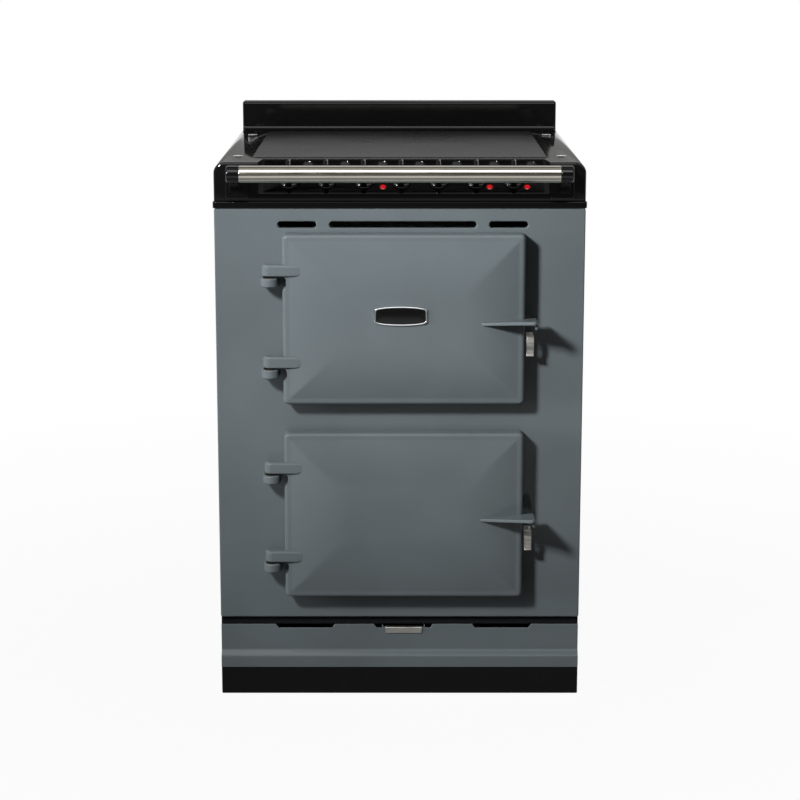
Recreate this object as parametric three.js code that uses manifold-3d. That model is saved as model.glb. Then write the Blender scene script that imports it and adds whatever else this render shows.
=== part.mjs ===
// A free-standing cast iron range cooker: two side-hung ovens one above the other, a
// ceramic glass hob set in a black enamelled top, a sloping control fascia and a handrail.
//
// Millimetres throughout. X runs to the right, Y to the back and Z up. The pieces are laid
// out with y = 0 on the face of the front plate, and the finished range is then moved so
// that its origin is under the middle of its footprint, on the floor.

import * as THREE from 'three';
import { mergeVertices } from 'three/addons/utils/BufferGeometryUtils.js';
import { ConvexGeometry } from 'three/addons/geometries/ConvexGeometry.js';
import Module from 'manifold-3d';

// ---- Driving dimensions: the body --------------------------------------------------

const FIT = 0.3; // gap between pieces that touch

const BODY_WIDTH = 596;
const BODY_DEPTH = 598; // front plate face to the back of the back panel
const SHEET = 2; // thickness of folded sheet steel
const SHEET_RETURN = 18; // width of the folded edges of a side panel

const PLINTH_HEIGHT = 45.5;
const PLINTH_WALL = 4;
const PLINTH_FLANGE = 30;
const TRAY_RIM_HEIGHT = 16;

const LOWER_PANEL_HEIGHT = 72.7;
const LOWER_PANEL_THICKNESS = 3;
const LOWER_PANEL_STEP = 9; // how far the upper part is set back
const LOWER_PANEL_NOSE_HEIGHT = 19.5; // height of the part below the slope
const AIR_GAP_HEIGHT = 15.5; // gap between the lower panel and the front plate
const NOTCH_WIDTH = 100;
const NOTCH_DEPTH = 6.5;
const NOTCH_SPACING = 164;
const NOTCH_COUNT = 3;

const FRONT_PLATE_HEIGHT = 683;
const FRONT_PLATE_THICKNESS = 12;
const FRONT_EDGE_CHAMFER = 1.5;
const FRONT_OFFSET = 6.5; // doors, notches and recess sit this far right of centre

const VENT_CENTRE_X = 5;
const VENT_DROP = 26.3; // vent centre line below the top of the front plate
const VENT_HEIGHT = 10.5;
const VENT_LONG = 236;
const VENT_SHORT = 62;
const VENT_SPACING = 170;

// ---- Driving dimensions: ovens and doors -------------------------------------------

const OVEN_CENTRES = { top: 641, bottom: 317 }; // heights above the floor
const MOUTH_WIDTH = 330;
const MOUTH_HEIGHT = 215;
const MOUTH_RADIUS = 12;
const OVEN_DEPTH = 430;
const OVEN_WALL = 2.5;
const OVEN_FLANGE = 14;
const RUNNER_SIZE = 7;
const RUNNER_SPACING = 52;
const RUNNER_LEVELS = 3;

const SHELF_ROD = 3; // radius of the wires of an oven shelf
const SHELF_BARS = 11;
const SHELF_SIDE_CLEARANCE = 2.5;

const DOOR_WIDTH = 389;
const DOOR_HEIGHT = 277;
const DOOR_CORNER = 8;
const DOOR_STANDOFF = 4; // front plate to the back of a door casting
const DOOR_RIM_REACH = 35; // front plate to the lip around a door's face
const DOOR_LIP = 11; // width of that lip
const DOOR_CROWN = 12; // how far the middle stands proud of the lip
const DOOR_CROWN_RUN = 110; // distance from the edge over which the crown rises
const DOOR_WALL = 9;
const SEAL_WIDTH = 8;

const HINGE_INSET = 20.5; // hinge axis to the door's left edge
const HINGE_REACH = 28; // hinge axis in front of the front plate
const KNUCKLE_RADIUS = 12; // round end of an arm
const LUG_RADIUS = 14.5;
const ARM_HEIGHT = 19;
const ARM_LENGTH = 56; // hinge axis to where the arm dies into the door
const LUG_HEIGHT = 14.5;
const HINGE_GAP = 3; // from a lug up to the arm that it carries
const HINGE_HEIGHTS = [71.5, -77.5]; // underside of each arm, from the door's middle
const PIN_RADIUS = 4.5;
const PIN_DEPTH = 10;
const WASHER_RADIUS = 10.5;
const LUG_RELIEF = 6; // how far a door's edge is cut back beside a lug

const BLADE_ROOT = -2; // top of the handle blade above the door's middle, where it begins
const BLADE_RISE = 9; // and how much higher it is at its tip
const BLADE_THICKNESS = 5.5;
const BLADE_LENGTH = 92;
const BLADE_OVERHANG = 18; // past the door's right edge
const BLADE_REACH = 88; // front plate to the tip of the blade
const BLADE_END_DROP = 16;
const BLADE_END_THICKNESS = 4.5;

const CATCH_WIDTH = 11.5;
const CATCH_HEIGHT = 34;
const CATCH_STRIP = 2.5;
const CATCH_REACH = 30;
const CATCH_CLEARANCE = 3; // between the catch and the door's right edge
const CATCH_DROP = 42; // catch middle below the door's middle

const BADGE_WIDTH = 85;
const BADGE_HEIGHT = 32;
const BADGE_THICKNESS = 3;
const BADGE_RISE = 9.5; // badge middle above the top door's middle
const BADGE_SHIFT = -5; // and to the left of its middle

// ---- Driving dimensions: the top ---------------------------------------------------

const FLANGE_OVERHANG = 2; // how far the flange stands out past the body all round
const FLANGE_HEIGHT = 10.7;
const TOP_HEIGHT = 63; // flange to hob level
const TOP_CORNER = 18; // rounding of the casting's long upper edges
const TOP_WALL = 8;
const TOP_EDGE = 3; // rounding of its front and back edges

const GLASS_SIDE_MARGIN = 58; // body side to the glass
const GLASS_DEPTH = 460;
const GLASS_SETBACK = 72;
const GLASS_THICKNESS = 5;
const GLASS_PROUD = 1;
const GLASS_CORNER = 6;
const GLASS_LEDGE = 8;

const UPSTAND_INSET = 9.5; // body side to the upstand's end
const UPSTAND_HEIGHT = 53;
const UPSTAND_THICKNESS = 33;
const UPSTAND_COVE = 8;
const UPSTAND_EDGE = 4;
const UPSTAND_WALL = 6;

const CAP_RADIUS = 8.5;
const CAP_HEIGHT = 2.5;
const CAP_INSET = 34; // body side to a cap's middle
const CAP_SETBACKS = [89, 466];

const ELEMENT_HEIGHT = 20;
const ELEMENT_RADII = [95, 72, 72, 95];
const ELEMENT_SPREAD = 0.457; // distance between elements as a share of the glass
const ELEMENT_WALL = 5;

// ---- Driving dimensions: controls --------------------------------------------------

const FASCIA_SETBACK = 50; // from the front face to the top of the slope
const FASCIA_TILT = Math.PI / 4;
const FASCIA_THICKNESS = 3;
const FASCIA_LEDGE = 5;
const RECESS_INSET = 72; // body side to the foot of a sloping end, were it central
const RECESS_END_FLARE = 10;

const KNOB_COUNT = 7;
const KNOB_END_MARGIN = 46; // end of the recess to the first and last knob, were they central
const KNOB_CENTRE_X = 2;
const KNOB_DOWN = 45; // knob row below the top of the slope
const KNOB_SKIRT_RADIUS = 17;
const KNOB_SKIRT_HEIGHT = 6;
const KNOB_HEIGHT = 36;
const KNOB_GRIP_LENGTH = 31;
const KNOB_GRIP_WIDTH = 9;
const KNOB_SHAFT_RADIUS = 3;
const KNOB_SHAFT_LENGTH = 18;

const DISC_RADIUS = 8;
const DISC_DOWN = 12.2;
const NEON_RADIUS = 5.6;
const NEON_DOWN = 57.9;
const NEON_PLACES = [[2, 31], [5, 22], [6, 22]]; // each lens: a knob, and how far to its right
const LAMP_PROUD = 1.6;
const CARRIER_THICKNESS = 2;
const CARRIER_HEIGHT = 8.5;

const SWITCH_WIDTH = 38;
const SWITCH_HEIGHT = 30;
const SWITCH_BELOW = 7; // how far a switch reaches below its spindle
const SWITCH_DEPTH = 34;

// ---- Driving dimensions: handrail and what is inside -------------------------------

const RAIL_RADIUS = 13.5;
const RAIL_WALL = 2;
const RAIL_INSET = 45.5; // body side to the tube's end
const RAIL_REACH = 60; // front plate to the rail's middle
const RAIL_DROP = 12.6; // rail's middle below the hob
const RAIL_HEAD_LENGTH = 20;
const RAIL_SPIGOT = 14;
const BRACKET_WIDTH = 38;
const BRACKET_HEIGHT = 55;
const BRACKET_FOOT = 6;
const BRACKET_BOTTOM = 832; // foot of the bracket above the floor

const FOOT_RADIUS = 19;
const FOOT_PAD = 7;
const FOOT_STEM = 5;
const FOOT_INSET = 62;

const FAN_RADIUS = 62;
const FAN_BLADES = 8;
const FAN_DEPTH = 18;
const FAN_GUARD_RADIUS = 66;
const BAFFLE_WIDTH = 290;
const BAFFLE_HEIGHT = 180;
const BAFFLE_DEPTH = 40;
const MOTOR_RADIUS = 36;
const MOTOR_LENGTH = 62;
const SPINDLE_RADIUS = 4;

const GRILL_TUBE = 3.4;
const GRILL_RUNS = 5;
const GRILL_PITCH = 56;
const GRILL_LENGTH = 330;
const GRILL_DROP = 18; // below the oven's ceiling

const SLIDE_PLATE_WIDTH = 62;
const SLIDE_PLATE_THICKNESS = 1.7;
const SLIDE_PLATE_LENGTH = 120;
const SLIDE_PLATE_LIP = 9;
const SLIDE_RUNNER_LENGTH = 105;

const BACK_LOUVRE_WIDTH = 300;
const BACK_LOUVRE_HEIGHT = 9;
const BACK_LOUVRE_PITCH = 30;
const BACK_LOUVRE_COUNT = 3;
const BACK_LOUVRE_LEVEL = 700;
const TERMINAL_WIDTH = 104;
const TERMINAL_HEIGHT = 74;
const TERMINAL_DEPTH = 46;
const TERMINAL_LEVEL = 190;
const TERMINAL_INSET = 128; // body side to its middle

// ---- Levels and places that follow from them ---------------------------------------

const lowerPanelBottom = PLINTH_HEIGHT + FIT;
const lowerPanelTop = lowerPanelBottom + LOWER_PANEL_HEIGHT;
const frontPlateBottom = lowerPanelTop + AIR_GAP_HEIGHT;
const frontPlateTop = frontPlateBottom + FRONT_PLATE_HEIGHT;
const flangeBottom = frontPlateTop + FIT;
const flangeTop = flangeBottom + FLANGE_HEIGHT;
const hobLevel = flangeTop + TOP_HEIGHT;
const frontPlateBack = FRONT_PLATE_THICKNESS;
const bodyFront = frontPlateBack + FIT; // where the side panels and ovens begin
const bodyBack = BODY_DEPTH - SHEET - FIT;
const hingeX = FRONT_OFFSET - DOOR_WIDTH / 2 - HINGE_INSET;
const doorFaceReach = DOOR_RIM_REACH + DOOR_CROWN;
const doorEdgeX = FRONT_OFFSET + DOOR_WIDTH / 2;
const ovenBack = bodyFront + OVEN_DEPTH;
const flangeWidth = BODY_WIDTH + 2 * FLANGE_OVERHANG;
const flangeDepth = BODY_DEPTH + 2 * FLANGE_OVERHANG;
const topBack = BODY_DEPTH + FLANGE_OVERHANG;
const glassWidth = BODY_WIDTH - 2 * GLASS_SIDE_MARGIN;
const upstandWidth = BODY_WIDTH - 2 * UPSTAND_INSET;
const upstandFront = BODY_DEPTH - UPSTAND_THICKNESS;
const capX = BODY_WIDTH / 2 - CAP_INSET;
const recessWidth = BODY_WIDTH - 2 * RECESS_INSET;
const knobPitch = (recessWidth - 2 * KNOB_END_MARGIN) / (KNOB_COUNT - 1);
const railLength = BODY_WIDTH - 2 * RAIL_INSET;
const terminalX = BODY_WIDTH / 2 - TERMINAL_INSET;

// ---- Finishes ----------------------------------------------------------------------

const FINISHES = {
  slateEnamel: { color: 0x6f7578, roughness: 0.22, metalness: 0.0 },
  blackEnamel: { color: 0x060607, roughness: 0.1, metalness: 0.0 },
  satinBlack: { color: 0x141414, roughness: 0.5, metalness: 0.0 },
  glass: { color: 0x0b0b0c, roughness: 0.04, metalness: 0.0 },
  nickel: { color: 0xc9c4b4, roughness: 0.18, metalness: 1.0 },
  chrome: { color: 0xd8dadc, roughness: 0.08, metalness: 1.0 },
  steel: { color: 0xa6a7a8, roughness: 0.35, metalness: 1.0 },
  galvanised: { color: 0x9aa0a3, roughness: 0.5, metalness: 0.9 },
  ovenEnamel: { color: 0x15161a, roughness: 0.35, metalness: 0.0 },
  redLens: { color: 0xc41018, roughness: 0.15, metalness: 0.0 },
  smokedLens: { color: 0x101012, roughness: 0.05, metalness: 0.0 },
  brass: { color: 0xb08d4a, roughness: 0.3, metalness: 1.0 },
  rope: { color: 0x2b2a28, roughness: 0.95, metalness: 0.0 },
  mica: { color: 0x8f8a80, roughness: 0.8, metalness: 0.0 },
  blackPlastic: { color: 0x0c0c0d, roughness: 0.25, metalness: 0.0 },
  elementSteel: { color: 0x4a4743, roughness: 0.5, metalness: 0.8 },
};

// ---- Solids ------------------------------------------------------------------------

const wasm = await Module();
wasm.setup();

/** Six times the volume that a list of triangles encloses, negative if inside out. */
function windingSign(positions, indices) {
  let sum = 0;
  const a = new THREE.Vector3();
  const b = new THREE.Vector3();
  const c = new THREE.Vector3();
  for (let i = 0; i < indices.length; i += 3) {
    a.fromArray(positions, indices[i] * 3);
    b.fromArray(positions, indices[i + 1] * 3);
    c.fromArray(positions, indices[i + 2] * 3);
    sum += a.dot(b.cross(c));
  }
  return Math.sign(sum);
}

/** A closed three.js geometry as a solid that can be cut and joined. */
function solidOf(geometry) {
  const bare = geometry.clone();
  bare.deleteAttribute('normal');
  bare.deleteAttribute('uv');
  const merged = mergeVertices(bare, 1e-4);
  const positions = Float32Array.from(merged.attributes.position.array);
  const indices = Uint32Array.from(merged.index.array);
  if (windingSign(positions, indices) < 0) {
    indices.reverse();
  }
  return new wasm.Manifold(new wasm.Mesh({
    numProp: 3,
    vertProperties: positions,
    triVerts: indices,
  }));
}

/** The surface of a solid as a flat-shaded three.js geometry. */
function geometryOf(solid) {
  const surface = solid.getMesh();
  const geometry = new THREE.BufferGeometry();
  const positions = Float32Array.from(surface.vertProperties);
  geometry.setAttribute('position', new THREE.BufferAttribute(positions, 3));
  geometry.setIndex(Array.from(surface.triVerts));
  const faceted = geometry.toNonIndexed();
  faceted.computeVertexNormals();
  return faceted;
}

/** A rectangular block between two limits on each axis. */
function block(x0, x1, y0, y1, z0, z1) {
  const geometry = new THREE.BoxGeometry(x1 - x0, y1 - y0, z1 - z0);
  geometry.translate((x0 + x1) / 2, (y0 + y1) / 2, (z0 + z1) / 2);
  return solidOf(geometry);
}

/** All the given solids joined into one. */
function joined(first, ...others) {
  return others.reduce((sum, other) => sum.add(other), first);
}

/** The first solid with all the others cut out of it. */
function cut(first, ...others) {
  return others.reduce((rest, other) => rest.subtract(other), first);
}

/** A closed outline through a list of [x, y] corners. */
function outline(corners) {
  return new THREE.Shape(corners.map(([x, y]) => new THREE.Vector2(x, y)));
}

/** A rectangle with round corners, centred on a point. */
function roundedRectangle(width, height, radius, centreX = 0, centreY = 0) {
  const right = centreX + width / 2 - radius;
  const left = centreX - width / 2 + radius;
  const top = centreY + height / 2 - radius;
  const bottom = centreY - height / 2 + radius;
  const shape = new THREE.Shape();
  shape.absarc(right, bottom, radius, -Math.PI / 2, 0, false);
  shape.absarc(right, top, radius, 0, Math.PI / 2, false);
  shape.absarc(left, top, radius, Math.PI / 2, Math.PI, false);
  shape.absarc(left, bottom, radius, Math.PI, 1.5 * Math.PI, false);
  shape.closePath();
  return shape;
}

/** A slot with round ends, lying along X. */
function slot(length, height, centreX, centreY) {
  return roundedRectangle(length, height, height / 2 - 0.01, centreX, centreY);
}

/** A ring between two rectangles of one centre. */
function rectangleRing(width, height, band, radius) {
  const shape = roundedRectangle(width, height, radius);
  shape.holes.push(roundedRectangle(width - 2 * band, height - 2 * band, Math.max(radius - band, 1)));
  return shape;
}

/** An outline given thickness along Z, from z = 0, with its edges rounded by `edge`. */
function slab(shape, thickness, edge = 0, arcSteps = 2) {
  const geometry = new THREE.ExtrudeGeometry(shape, {
    depth: thickness - 2 * edge,
    curveSegments: arcSteps,
    bevelEnabled: edge > 0,
    bevelSize: edge,
    bevelThickness: edge,
    bevelOffset: -edge,
    bevelSegments: 1,
  });
  return geometry.translate(0, 0, edge);
}

const AXIS_X = new THREE.Vector3(1, 0, 0);
const AXIS_Y = new THREE.Vector3(0, 1, 0);
const AXIS_Z = new THREE.Vector3(0, 0, 1);
const ACROSS = new THREE.Matrix4().makeBasis(AXIS_Y, AXIS_Z, AXIS_X);
const FACING_FRONT = new THREE.Matrix4().makeBasis(AXIS_X, AXIS_Z, AXIS_Y.clone().negate());

/** A side view in (y, z), run across the range from x0 to x1. */
function runAcross(shape, x0, x1, edge = 0, arcSteps = 2) {
  return solidOf(slab(shape, x1 - x0, edge, arcSteps).applyMatrix4(ACROSS).translate(x0, 0, 0));
}

/** A front view in (x, z), filled from the plane y0 back to the plane y1. */
function runBack(shape, y0, y1, edge = 0, arcSteps = 2) {
  return solidOf(slab(shape, y1 - y0, edge, arcSteps).applyMatrix4(FACING_FRONT).translate(0, y1, 0));
}

/** A plan view in (x, y), filled from z0 up to z1. */
function runUp(shape, z0, z1, edge = 0, arcSteps = 2) {
  return solidOf(slab(shape, z1 - z0, edge, arcSteps).translate(0, 0, z0));
}

/** A half section of [radius, z] corners turned about the Z axis. */
function turned(corners, steps) {
  const points = corners.map(([radius, z]) => new THREE.Vector2(radius, z));
  return solidOf(new THREE.LatheGeometry(points, steps).rotateX(Math.PI / 2));
}

/** A round bar along Z between two heights. */
function bar(radius, z0, z1, steps = 16) {
  return turned([[0, z0], [radius, z0], [radius, z1], [0, z1]], steps);
}

/** A straight six-sided wire between two points. */
function wire(from, to, radius) {
  const length = to.distanceTo(from);
  const geometry = new THREE.CylinderGeometry(radius, radius, length, 6);
  const middle = from.clone().add(to).multiplyScalar(0.5);
  const turn = new THREE.Quaternion().setFromUnitVectors(AXIS_Y, to.clone().sub(from).normalize());
  geometry.applyQuaternion(turn);
  return solidOf(geometry.translate(middle.x, middle.y, middle.z));
}

/** The smallest solid around a list of [x, y, z] points. */
function hullOf(points) {
  return solidOf(new ConvexGeometry(points.map(([x, y, z]) => new THREE.Vector3(x, y, z))));
}

/** The corners of a horizontal plate: a plan outline at two heights. */
function platePoints(plan, z0, z1) {
  return plan.flatMap(([x, y]) => [[x, y, z0], [x, y, z1]]);
}

/** A named mesh in one of the finishes. */
function piece(name, solid, finish) {
  const mesh = new THREE.Mesh(geometryOf(solid), new THREE.MeshStandardMaterial(FINISHES[finish]));
  mesh.name = name;
  return mesh;
}

/** Sets a mesh or group down at a place and returns it. */
function placed(object, x, y, z) {
  object.position.set(x, y, z);
  return object;
}

// ---- Base --------------------------------------------------------------------------

/** Plinth casting: four walls with a flange turned in along the floor. */
function plinth() {
  const middleY = BODY_DEPTH / 2;
  const walls = slab(rectangleRing(BODY_WIDTH, BODY_DEPTH, PLINTH_WALL, 3), PLINTH_HEIGHT);
  const flange = slab(rectangleRing(BODY_WIDTH, BODY_DEPTH, PLINTH_FLANGE, 3), PLINTH_WALL);
  const solid = joined(solidOf(walls), solidOf(flange)).translate([0, middleY, 0]);
  return piece('plinth', solid, 'satinBlack');
}

/** Shallow steel pan that closes the body above the plinth. */
function baseTray() {
  const halfWidth = BODY_WIDTH / 2 - SHEET - FIT;
  const front = LOWER_PANEL_STEP + LOWER_PANEL_THICKNESS + FIT;
  const bottom = PLINTH_HEIGHT + FIT;
  const pan = block(-halfWidth, halfWidth, front, bodyBack, bottom, bottom + TRAY_RIM_HEIGHT);
  const inside = block(
    -halfWidth + SHEET, halfWidth - SHEET, front + SHEET, bodyBack - SHEET,
    bottom + SHEET, bottom + TRAY_RIM_HEIGHT + 1,
  );
  const panels = [-1, 1].map((side) => sidePanelSolid(side, FIT));
  return piece('base_tray', cut(pan, inside, ...panels), 'galvanised');
}

/** Screw foot: a round pad on a threaded stem that reaches the base tray. */
function levellingFoot(name) {
  const solid = turned([
    [0, 0], [FOOT_RADIUS, 0], [FOOT_RADIUS, FOOT_PAD - 2], [FOOT_RADIUS - 5, FOOT_PAD],
    [FOOT_STEM, FOOT_PAD], [FOOT_STEM, PLINTH_HEIGHT], [0, PLINTH_HEIGHT],
  ], 16);
  return piece(name, solid, 'galvanised');
}

/** The four screw feet, one in each corner of the plinth. */
function levellingFeet() {
  const feet = new THREE.Group();
  const places = [
    ['front_left', -1, FOOT_INSET], ['front_right', 1, FOOT_INSET],
    ['back_left', -1, BODY_DEPTH - FOOT_INSET], ['back_right', 1, BODY_DEPTH - FOOT_INSET],
  ];
  for (const [corner, side, y] of places) {
    const x = side * (BODY_WIDTH / 2 - FOOT_INSET);
    feet.add(placed(levellingFoot(`levelling_foot_${corner}`), x, y, 0));
  }
  return feet;
}

/** Outline of an air notch, wider at the top than at the bottom. */
function notchOutline(centreX) {
  const half = NOTCH_WIDTH / 2;
  const bottom = lowerPanelTop - NOTCH_DEPTH;
  return outline([
    [centreX - half + NOTCH_DEPTH, bottom], [centreX + half - NOTCH_DEPTH, bottom],
    [centreX + half + 1, lowerPanelTop + 1], [centreX - half - 1, lowerPanelTop + 1],
  ]);
}

/** Stepped panel below the ovens, with air notches and a runner for the slide-out plate. */
function lowerPanel() {
  const noseTop = lowerPanelBottom + LOWER_PANEL_NOSE_HEIGHT;
  const stepTop = noseTop + LOWER_PANEL_STEP;
  const back = LOWER_PANEL_STEP + LOWER_PANEL_THICKNESS;
  const profile = outline([
    [0, lowerPanelBottom], [LOWER_PANEL_THICKNESS, lowerPanelBottom],
    [LOWER_PANEL_THICKNESS, noseTop], [back, stepTop], [back, lowerPanelTop],
    [LOWER_PANEL_STEP, lowerPanelTop], [LOWER_PANEL_STEP, stepTop], [0, noseTop],
  ]);
  const notches = [];
  for (let i = 0; i < NOTCH_COUNT; i += 1) {
    const centreX = FRONT_OFFSET + (i - (NOTCH_COUNT - 1) / 2) * NOTCH_SPACING;
    notches.push(runBack(notchOutline(centreX), -1, back + 1));
  }
  const runnerTop = lowerPanelTop - NOTCH_DEPTH;
  const runner = block(
    FRONT_OFFSET - SLIDE_PLATE_WIDTH / 2 - 4, FRONT_OFFSET + SLIDE_PLATE_WIDTH / 2 + 4,
    LOWER_PANEL_STEP + 1, LOWER_PANEL_STEP + SLIDE_RUNNER_LENGTH, runnerTop - SHEET, runnerTop,
  );
  const sheet = runAcross(profile, -BODY_WIDTH / 2, BODY_WIDTH / 2);
  return piece('lower_panel', joined(cut(sheet, ...notches), runner), 'slateEnamel');
}

/** Plate that slides out through the middle notch, with a turned-down lip to pull. */
function slideOutPlate() {
  const half = SLIDE_PLATE_WIDTH / 2;
  const bottom = lowerPanelTop - NOTCH_DEPTH + FIT;
  const top = bottom + SLIDE_PLATE_THICKNESS;
  const lipBack = LOWER_PANEL_STEP - FIT;
  const lipFront = lipBack - SLIDE_PLATE_THICKNESS;
  const profile = outline([
    [lipFront, bottom - SLIDE_PLATE_LIP], [lipBack, bottom - SLIDE_PLATE_LIP], [lipBack, bottom],
    [lipFront + SLIDE_PLATE_LENGTH, bottom], [lipFront + SLIDE_PLATE_LENGTH, top], [lipFront, top],
  ]);
  const solid = runAcross(profile, FRONT_OFFSET - half, FRONT_OFFSET + half);
  return piece('slide_out_plate', solid, 'steel');
}

// ---- Body panels -------------------------------------------------------------------

/** Folded side panel: a sheet with its front and back edges turned in, grown by `grow`. */
function sidePanelSolid(side, grow = 0) {
  const outer = side * (BODY_WIDTH / 2 + grow);
  const inner = side * (BODY_WIDTH / 2 - SHEET - grow);
  const returned = side * (BODY_WIDTH / 2 - SHEET_RETURN - grow);
  const plan = outline([
    [outer, bodyFront - grow], [outer, bodyBack + grow],
    [returned, bodyBack + grow], [returned, bodyBack - SHEET - grow],
    [inner, bodyBack - SHEET - grow], [inner, bodyFront + SHEET + grow],
    [returned, bodyFront + SHEET + grow], [returned, bodyFront - grow],
  ]);
  return runUp(plan, PLINTH_HEIGHT + FIT - grow, flangeBottom - FIT + grow);
}

/** Back panel with air louvres and the opening behind which the mains terminals sit. */
function backPanel() {
  const bottom = PLINTH_HEIGHT + FIT;
  const top = flangeBottom - FIT;
  const shape = roundedRectangle(BODY_WIDTH, top - bottom, 2, 0, (top + bottom) / 2);
  for (let i = 0; i < BACK_LOUVRE_COUNT; i += 1) {
    const level = BACK_LOUVRE_LEVEL + i * BACK_LOUVRE_PITCH;
    shape.holes.push(slot(BACK_LOUVRE_WIDTH, BACK_LOUVRE_HEIGHT, 0, level));
  }
  shape.holes.push(roundedRectangle(TERMINAL_WIDTH, TERMINAL_HEIGHT, 3, terminalX, TERMINAL_LEVEL));
  return piece('back_panel', runBack(shape, BODY_DEPTH - SHEET, BODY_DEPTH), 'galvanised');
}

/** Mains terminal housing, flanged against the inside of the back panel. */
function terminalBlock() {
  const panelInside = BODY_DEPTH - SHEET - FIT;
  const width = TERMINAL_WIDTH - 2 * FIT;
  const height = TERMINAL_HEIGHT - 2 * FIT;
  const housing = runBack(
    roundedRectangle(width, height, 3, terminalX, TERMINAL_LEVEL),
    panelInside - TERMINAL_DEPTH, BODY_DEPTH - FIT,
  );
  const flange = runBack(
    roundedRectangle(width + 16, height + 16, 4, terminalX, TERMINAL_LEVEL),
    panelInside - SHEET, panelInside,
  );
  const cableEntry = solidOf(
    new THREE.CylinderGeometry(11, 11, 20, 16).translate(terminalX, BODY_DEPTH, TERMINAL_LEVEL),
  );
  return piece('terminal_block', cut(joined(housing, flange), cableEntry), 'blackPlastic');
}

/** The lug that carries one hinge arm, from the front plate out round the hinge axis. */
function hingeLug(top) {
  const bottom = top - LUG_HEIGHT;
  const shape = new THREE.Shape();
  shape.moveTo(hingeX - LUG_RADIUS, 1);
  shape.absarc(hingeX, -HINGE_REACH, LUG_RADIUS, Math.PI, 2 * Math.PI, false);
  shape.lineTo(hingeX + LUG_RADIUS, 1);
  shape.closePath();
  const bore = bar(PIN_RADIUS + FIT, top - PIN_DEPTH - FIT, top + 1).translate([hingeX, -HINGE_REACH, 0]);
  return cut(runUp(shape, bottom, top, 1.5, 5), bore);
}

/** Enamelled front plate with two oven mouths, three vents and four cast hinge lugs. */
function frontPlate() {
  const middle = (frontPlateBottom + frontPlateTop) / 2;
  const shape = roundedRectangle(BODY_WIDTH, FRONT_PLATE_HEIGHT, 3, 0, middle);
  for (const centre of Object.values(OVEN_CENTRES)) {
    shape.holes.push(roundedRectangle(MOUTH_WIDTH, MOUTH_HEIGHT, MOUTH_RADIUS, FRONT_OFFSET, centre));
  }
  const ventLevel = frontPlateTop - VENT_DROP;
  shape.holes.push(slot(VENT_SHORT, VENT_HEIGHT, VENT_CENTRE_X - VENT_SPACING, ventLevel));
  shape.holes.push(slot(VENT_LONG, VENT_HEIGHT, VENT_CENTRE_X, ventLevel));
  shape.holes.push(slot(VENT_SHORT, VENT_HEIGHT, VENT_CENTRE_X + VENT_SPACING, ventLevel));
  const plate = runBack(shape, 0, FRONT_PLATE_THICKNESS, FRONT_EDGE_CHAMFER);
  const lugs = Object.values(OVEN_CENTRES).flatMap((centre) => (
    HINGE_HEIGHTS.map((height) => hingeLug(centre + height - HINGE_GAP))
  ));
  return piece('front_plate', joined(plate, ...lugs), 'slateEnamel');
}

// ---- Ovens -------------------------------------------------------------------------

/** Oven chamber: a box open at the front with shelf runners and a mounting flange. */
function ovenLiner(name, backHole) {
  const outerWidth = MOUTH_WIDTH + 2 * OVEN_WALL;
  const outerHeight = MOUTH_HEIGHT + 2 * OVEN_WALL;
  const outside = roundedRectangle(outerWidth, outerHeight, MOUTH_RADIUS + OVEN_WALL);
  const inside = roundedRectangle(MOUTH_WIDTH, MOUTH_HEIGHT, MOUTH_RADIUS);
  const shell = runBack(outside, bodyFront, ovenBack);
  const room = runBack(inside, bodyFront - 1, ovenBack - OVEN_WALL);
  const flange = runBack(
    rectangleRing(outerWidth + 2 * OVEN_FLANGE, outerHeight + 2 * OVEN_FLANGE, OVEN_FLANGE + 1, MOUTH_RADIUS),
    bodyFront, bodyFront + OVEN_WALL,
  );
  const runners = [];
  for (let level = 0; level < RUNNER_LEVELS; level += 1) {
    const top = (level - (RUNNER_LEVELS - 1) / 2) * RUNNER_SPACING;
    for (const side of [-1, 1]) {
      const wall = side * (MOUTH_WIDTH / 2 + 1);
      const inner = side * (MOUTH_WIDTH / 2 - RUNNER_SIZE);
      runners.push(block(
        Math.min(wall, inner), Math.max(wall, inner), bodyFront + 25, ovenBack - BAFFLE_DEPTH - 15,
        top - RUNNER_SIZE, top,
      ));
    }
  }
  const solid = joined(cut(joined(shell, flange), room), ...runners);
  const hole = solidOf(new THREE.CylinderGeometry(backHole, backHole, 20, 16).translate(0, ovenBack, 0));
  return piece(name, backHole > 0 ? cut(solid, hole) : solid, 'ovenEnamel');
}

/** Wire shelf that rests on the middle pair of runners. */
function wireShelf(name) {
  const halfWidth = MOUTH_WIDTH / 2 - SHELF_SIDE_CLEARANCE - SHELF_ROD;
  const front = bodyFront + 30;
  const back = ovenBack - BAFFLE_DEPTH - 25;
  const level = SHELF_ROD + FIT;
  const at = (x, y) => new THREE.Vector3(x, y, level);
  const rods = [];
  for (const side of [-1, 1]) {
    const x = side * halfWidth;
    rods.push(wire(at(x, front - SHELF_ROD), at(x, back + SHELF_ROD), SHELF_ROD));
  }
  for (let i = 0; i < SHELF_BARS; i += 1) {
    const y = front + (back - front) * (i / (SHELF_BARS - 1));
    rods.push(wire(at(-halfWidth, y), at(halfWidth, y), SHELF_ROD * 0.8));
  }
  return piece(name, joined(...rods), 'chrome');
}

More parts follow.
